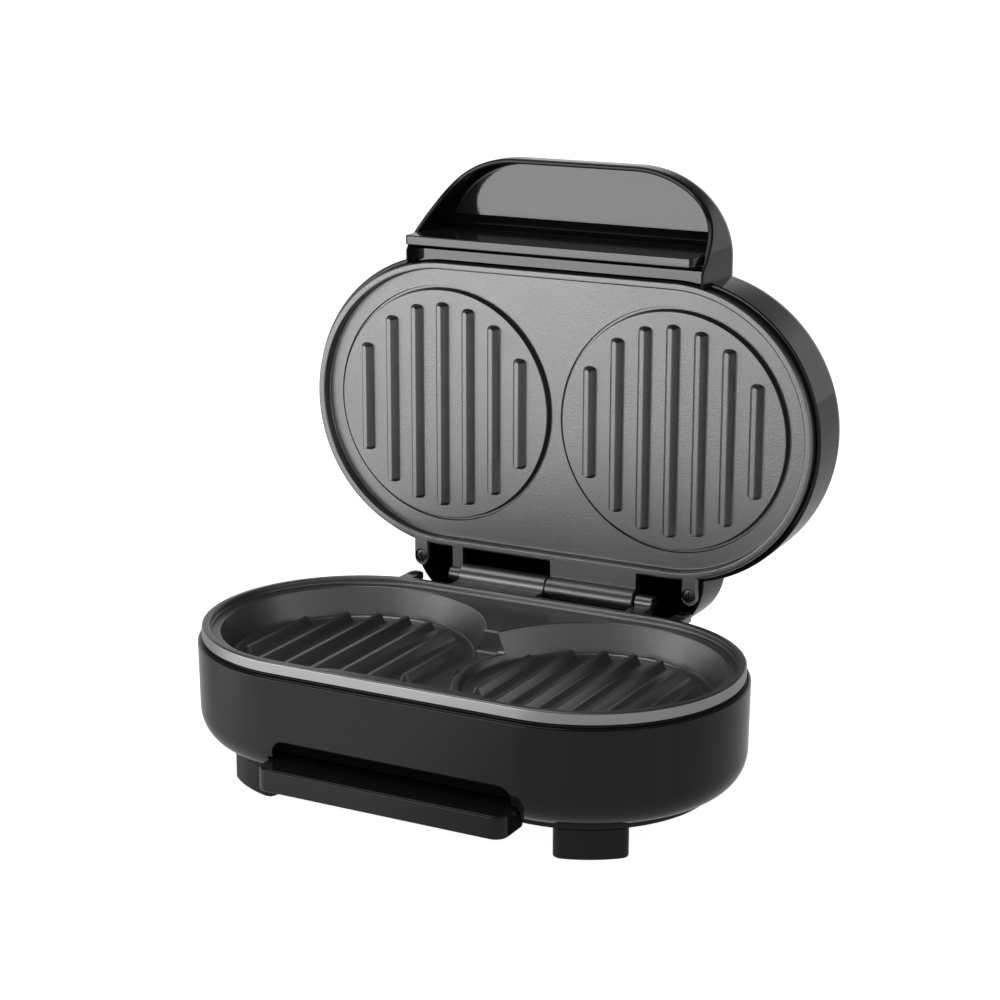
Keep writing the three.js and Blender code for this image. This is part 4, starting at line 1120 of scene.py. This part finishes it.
# Faces in the recess, which get the painted shade
def in_recess(centre, normal):
    return (RECESS_LIP - HOUSING_RADIUS < centre.y < RECESS_BACK_Y + CLOSE
            and abs(centre.x) < RECESS_HALF_WIDTH + NEAR and centre.z < RECESS_TOP_Z + CLOSE)


# Faces of the lower plate's outer skirt, which get the painted light
def on_skirt(centre, normal):
    beyond = max(0, abs(centre.x) - HALF_STRAIGHT)
    return (abs(normal.z) < AROUND and -SKIRT_DEPTH - CLOSE < centre.z < 0
            and math.hypot(beyond, centre.y) > PLATE_RADIUS - NEAR)


# Front-facing faces of the hood's panel and neck, which get the painted reflection
def on_hood_front(centre, normal):
    panel = centre.y > PANEL_FOOT_Y - AROUND and centre.z < HOOD_PANEL_Z + NEAR
    neck = centre.y > NECK_TOP_Y - NECK_SEEN and abs(centre.z - NECK_FRONT_Z) < NEAR
    return normal.z > FACING and (panel or neck)


# Faces inside the lid's hollow, which get the painted shade
def inside_lid(centre, normal):
    return (normal.z > TURNED_UP and centre.z < LID_FRONT_Z - INSIDE
            and centre.y < NECK_TOP_Y - INSIDE)


# The bar's front face, which gets the painted reflection
def on_bar_front(centre, normal):
    return normal.z > FACING and centre.z > BAR_FRONT_Z - BAR_EDGE


# Base
dressed(make_base_housing(), "housing_moulding", "base", "gloss_black", "base_housing",
        faces=[(PAINTED_SHADE, in_recess)])
dressed(make_bottom_cover(), "cover_moulding", "base", "satin_black", "bottom_cover")
dressed(make_lower_plate(), "lower_plate_casting", "base", "nonstick_aluminium", "lower_plate",
        coat=LIT_LOWER_COAT, faces=[(PAINTED_LIGHT_SKIRT, on_skirt)])
dressed(make_cord_gland(), "gland_moulding", "base", "satin_black", "cord_gland")
dressed(make_drip_tray(), "tray_moulding", "tray", "gloss_black", "drip_tray")
for corner, place in FOOT_PLACES.items():
    dressed(make_foot(place), "foot_moulding_" + corner, "base", "satin_black", "foot_" + corner)
    dressed(make_foot_pad(place), "pad_moulding_" + corner, "base", "foot_rubber", "foot_pad_" + corner)

# Lid
dressed(make_lid_shell(), "lid_moulding", "lid", "gloss_black", "lid_shell",
        faces=[(PAINTED_REFLECTION, on_hood_front), (PAINTED_SHADE, inside_lid)])
dressed(make_handle_bar(), "bar_moulding", "lid", "gloss_black", "handle_bar",
        faces=[(PAINTED_REFLECTION, on_bar_front)])
dressed(make_upper_plate(), "upper_plate_casting", "lid", "nonstick_aluminium", "upper_plate")
for lens_name, lens_side, lens_slot in [("power_lens", -1, "red_lens"), ("ready_lens", 1, "green_lens")]:
    dressed(make_lens(lens_side), lens_name + "_moulding", "lid", lens_slot, lens_name)

# Screws that show
for side_name, screw_side in [("right", 1), ("left", -1)]:
    for piece_name, node_name, body_name, screw_x, screw_at in [
            ("lower_screw_", "lower_tab_screw_", "base", TAB_X, (TAB_SCREW_Y, SCREW_HEAD_PROUD)),
            ("upper_screw_", "upper_tab_screw_", "lid", TAB_X, (-TAB_SCREW_Y, -SCREW_HEAD_SUNK)),
            ("cover_fixing_", "cover_screw_", "base", COVER_SCREW_X,
             (0, COVER_BOTTOM_Z + SEAT_GAP, -1))]:
        dressed(make_screw(screw_side * screw_x, *screw_at), piece_name + side_name,
                body_name, "steel", node_name + side_name)

# Inner fittings keep their own shape
INNER_FINISHES = {
    "element_sheath": ["lower_heating_element", "upper_heating_element"],
    "bare_aluminium": ["lower_reflector", "upper_reflector", "thermal_fuse", "drain_tube"],
    "ceramic": ["thermostat", "terminal_block"],
    "satin_black": ["tray_channel"],
    "steel": ["hinge_pin"] + ["foot_screw_" + name for name in FOOT_PLACES],
    "lamp_glass": ["power_lamp", "ready_lamp"],
}
for slot_name, members in INNER_FINISHES.items():
    for member in members:
        coats = frame["nodes"][member].data.materials
        coats.clear()
        coats.append(FINISHES[slot_name])


# Floor and background
FLOOR_HALF = 12.0
FLOOR_DIFFUSE = 0.8
FLOOR_ROUGHNESS = 0.9
FLOOR_GLOW = 0.95
FLOOR_MIRRORED = 1.3
# What gloss sees of the floor fades along two ways: way, from and to, the two strengths
FLOOR_FADES = [((0.98, -0.2, 0), (-0.03, 0.07), (FLOOR_MIRRORED, 0.45 * FLOOR_MIRRORED)),
               ((0, 1, 0), (-0.16, -0.05), (FLOOR_MIRRORED, 0.4 * FLOOR_MIRRORED))]
FILL_STRENGTH = 0.35
CEILING_STRENGTH = 0.08
CEILING_HEIGHTS = (0.25, 0.43)
ROOM_GREY = 0.8
# Soft boxes: name, place, aim, width, height, radiance
SOFT_BOXES = [("front_box", (-0.68, -0.88, 0.13), (-0.05, 0.06, 0.13), 1.1, 0.25, 3.0),
              ("top_box", (-0.4, -0.1, 1.1), (0, 0, 0.05), 0.7, 0.7, 1.5)]


def seen_directly(tree, *rays):
    """1 for the kinds of ray named, and 0 for the rest."""
    path = tree.nodes.new("ShaderNodeLightPath")
    seen = path.outputs[rays[0]]
    for ray in rays[1:]:
        seen = maths(tree, "MAXIMUM", seen, path.outputs[ray])
    return seen


def glowing(tree, strength, kind="ShaderNodeEmission", grey=1.0):
    return add(tree, kind, dict(Color=(grey, grey, grey, 1), Strength=strength)).outputs[0]


def fading(tree, source, way, places, values):
    """A value that fades from the first of two places along a way to the second."""
    where = add(tree, "ShaderNodeTexCoord").outputs[source]
    along = add(tree, "ShaderNodeVectorMath", {0: where, 1: way}, "DOT_PRODUCT")
    fade = add(tree, "ShaderNodeMapRange", {"Value": along.outputs["Value"]})
    fade.interpolation_type = "SMOOTHSTEP"
    feed(tree, fade, zip(("From Min", "From Max", "To Min", "To Max"), (*places, *values)))
    return fade.outputs["Result"]


def by_ray(tree, rest, direct, mirrored_one, end):
    """One shader for rays from the camera or through glass, one for mirrored rays, one for the rest."""
    for rays, other in [(("Is Camera Ray", "Is Transmission Ray"), direct),
                        (("Is Glossy Ray",), mirrored_one)]:
        factor = seen_directly(tree, *rays)
        rest = add(tree, "ShaderNodeMixShader", enumerate((factor, rest, other))).outputs[0]
    feed(tree, tree.nodes[end], dict(Surface=rest))


def make_floor():
    """White paper that keeps the shadow. The camera sees it lit up to white, and gloss its own level."""
    mesh = bpy.data.meshes.new("floor")
    corners = [(x * FLOOR_HALF, y * FLOOR_HALF, 0) for x, y in [(-1, -1), (1, -1), (1, 1), (-1, 1)]]
    mesh.from_pydata(corners, [], [(0, 1, 2, 3)])
    floor = new_object("floor", mesh)
    material, tree, shader = new_material("white_paper")
    feed(tree, shader, {"Base Color": (FLOOR_DIFFUSE, FLOOR_DIFFUSE, FLOOR_DIFFUSE, 1),
                        "Roughness": FLOOR_ROUGHNESS, "Specular IOR Level": 0.0})
    paper = shader.outputs[0]
    lit = add(tree, "ShaderNodeAddShader", {0: paper, 1: glowing(tree, FLOOR_GLOW)}).outputs[0]
    strength = maths(tree, "MINIMUM", *[fading(tree, "Object", *fade) for fade in FLOOR_FADES])
    by_ray(tree, paper, lit, glowing(tree, strength), "Material Output")
    mesh.materials.append(material)


def make_world():
    """White to the camera, a low even fill, and to gloss a room that dims towards its ceiling."""
    world = bpy.data.worlds.new("studio")
    world.use_nodes = True
    tree = world.node_tree
    fill = feed(tree, tree.nodes["Background"], dict(Color=(1, 1, 1, 1), Strength=FILL_STRENGTH))
    white = glowing(tree, 1.0, "ShaderNodeBackground")
    height = fading(tree, "Generated", (0, 0, 1), CEILING_HEIGHTS, (1.0, CEILING_STRENGTH))
    room = glowing(tree, height, "ShaderNodeBackground", ROOM_GREY)
    by_ray(tree, fill.outputs[0], white, room, "World Output")
    bpy.context.scene.world = world


def make_light(name, place, aim, width, height, radiance):
    """A soft box of that size and radiance at a place, turned to its aim."""
    light = bpy.data.lights.new(name, "AREA")
    light.shape = "RECTANGLE"
    light.size = width
    light.size_y = height
    light.energy = radiance * math.pi * width * height
    lamp = new_object(name, light)
    lamp.location = place
    lamp.rotation_mode = "QUATERNION"
    lamp.rotation_quaternion = (Vector(aim) - Vector(place)).to_track_quat("-Z", "Y")
    lamp.visible_camera = False


# Camera at the photograph's view
VIEW_AZIMUTH = math.radians(27.915)
VIEW_ELEVATION = math.radians(15.023)
VIEW_ROLL = math.radians(-0.075)
FOCAL_PIXELS = 2353.09
IMAGE_PIXELS = 1000
SENSOR_MM = 36.0
AIM_RIGHT = 14.275
AIM_UP = 60.765
DISTANCE = 1037.33


def make_camera():
    sine, cosine = math.sin(VIEW_AZIMUTH), math.cos(VIEW_AZIMUTH)
    reach = math.cos(VIEW_ELEVATION)
    back = Vector((sine * reach, -cosine * reach, math.sin(VIEW_ELEVATION)))
    right = Vector((cosine, sine, 0))
    up = back.cross(right)
    across = right * math.cos(VIEW_ROLL) - up * math.sin(VIEW_ROLL)
    upward = right * math.sin(VIEW_ROLL) + up * math.cos(VIEW_ROLL)
    place = across * AIM_RIGHT + upward * AIM_UP + back * DISTANCE
    data = bpy.data.cameras.new("camera")
    data.sensor_width = SENSOR_MM
    data.lens = FOCAL_PIXELS / IMAGE_PIXELS * SENSOR_MM
    camera = new_object("camera", data)
    turn = Matrix((across, upward, back)).transposed().to_4x4()
    camera.matrix_world = Matrix.Translation(PLATE @ place) @ turn
    bpy.context.scene.camera = camera


make_floor()
make_world()
for soft_box in SOFT_BOXES:
    make_light(*soft_box)
make_camera()
bpy.context.scene.view_settings.view_transform = "Standard"
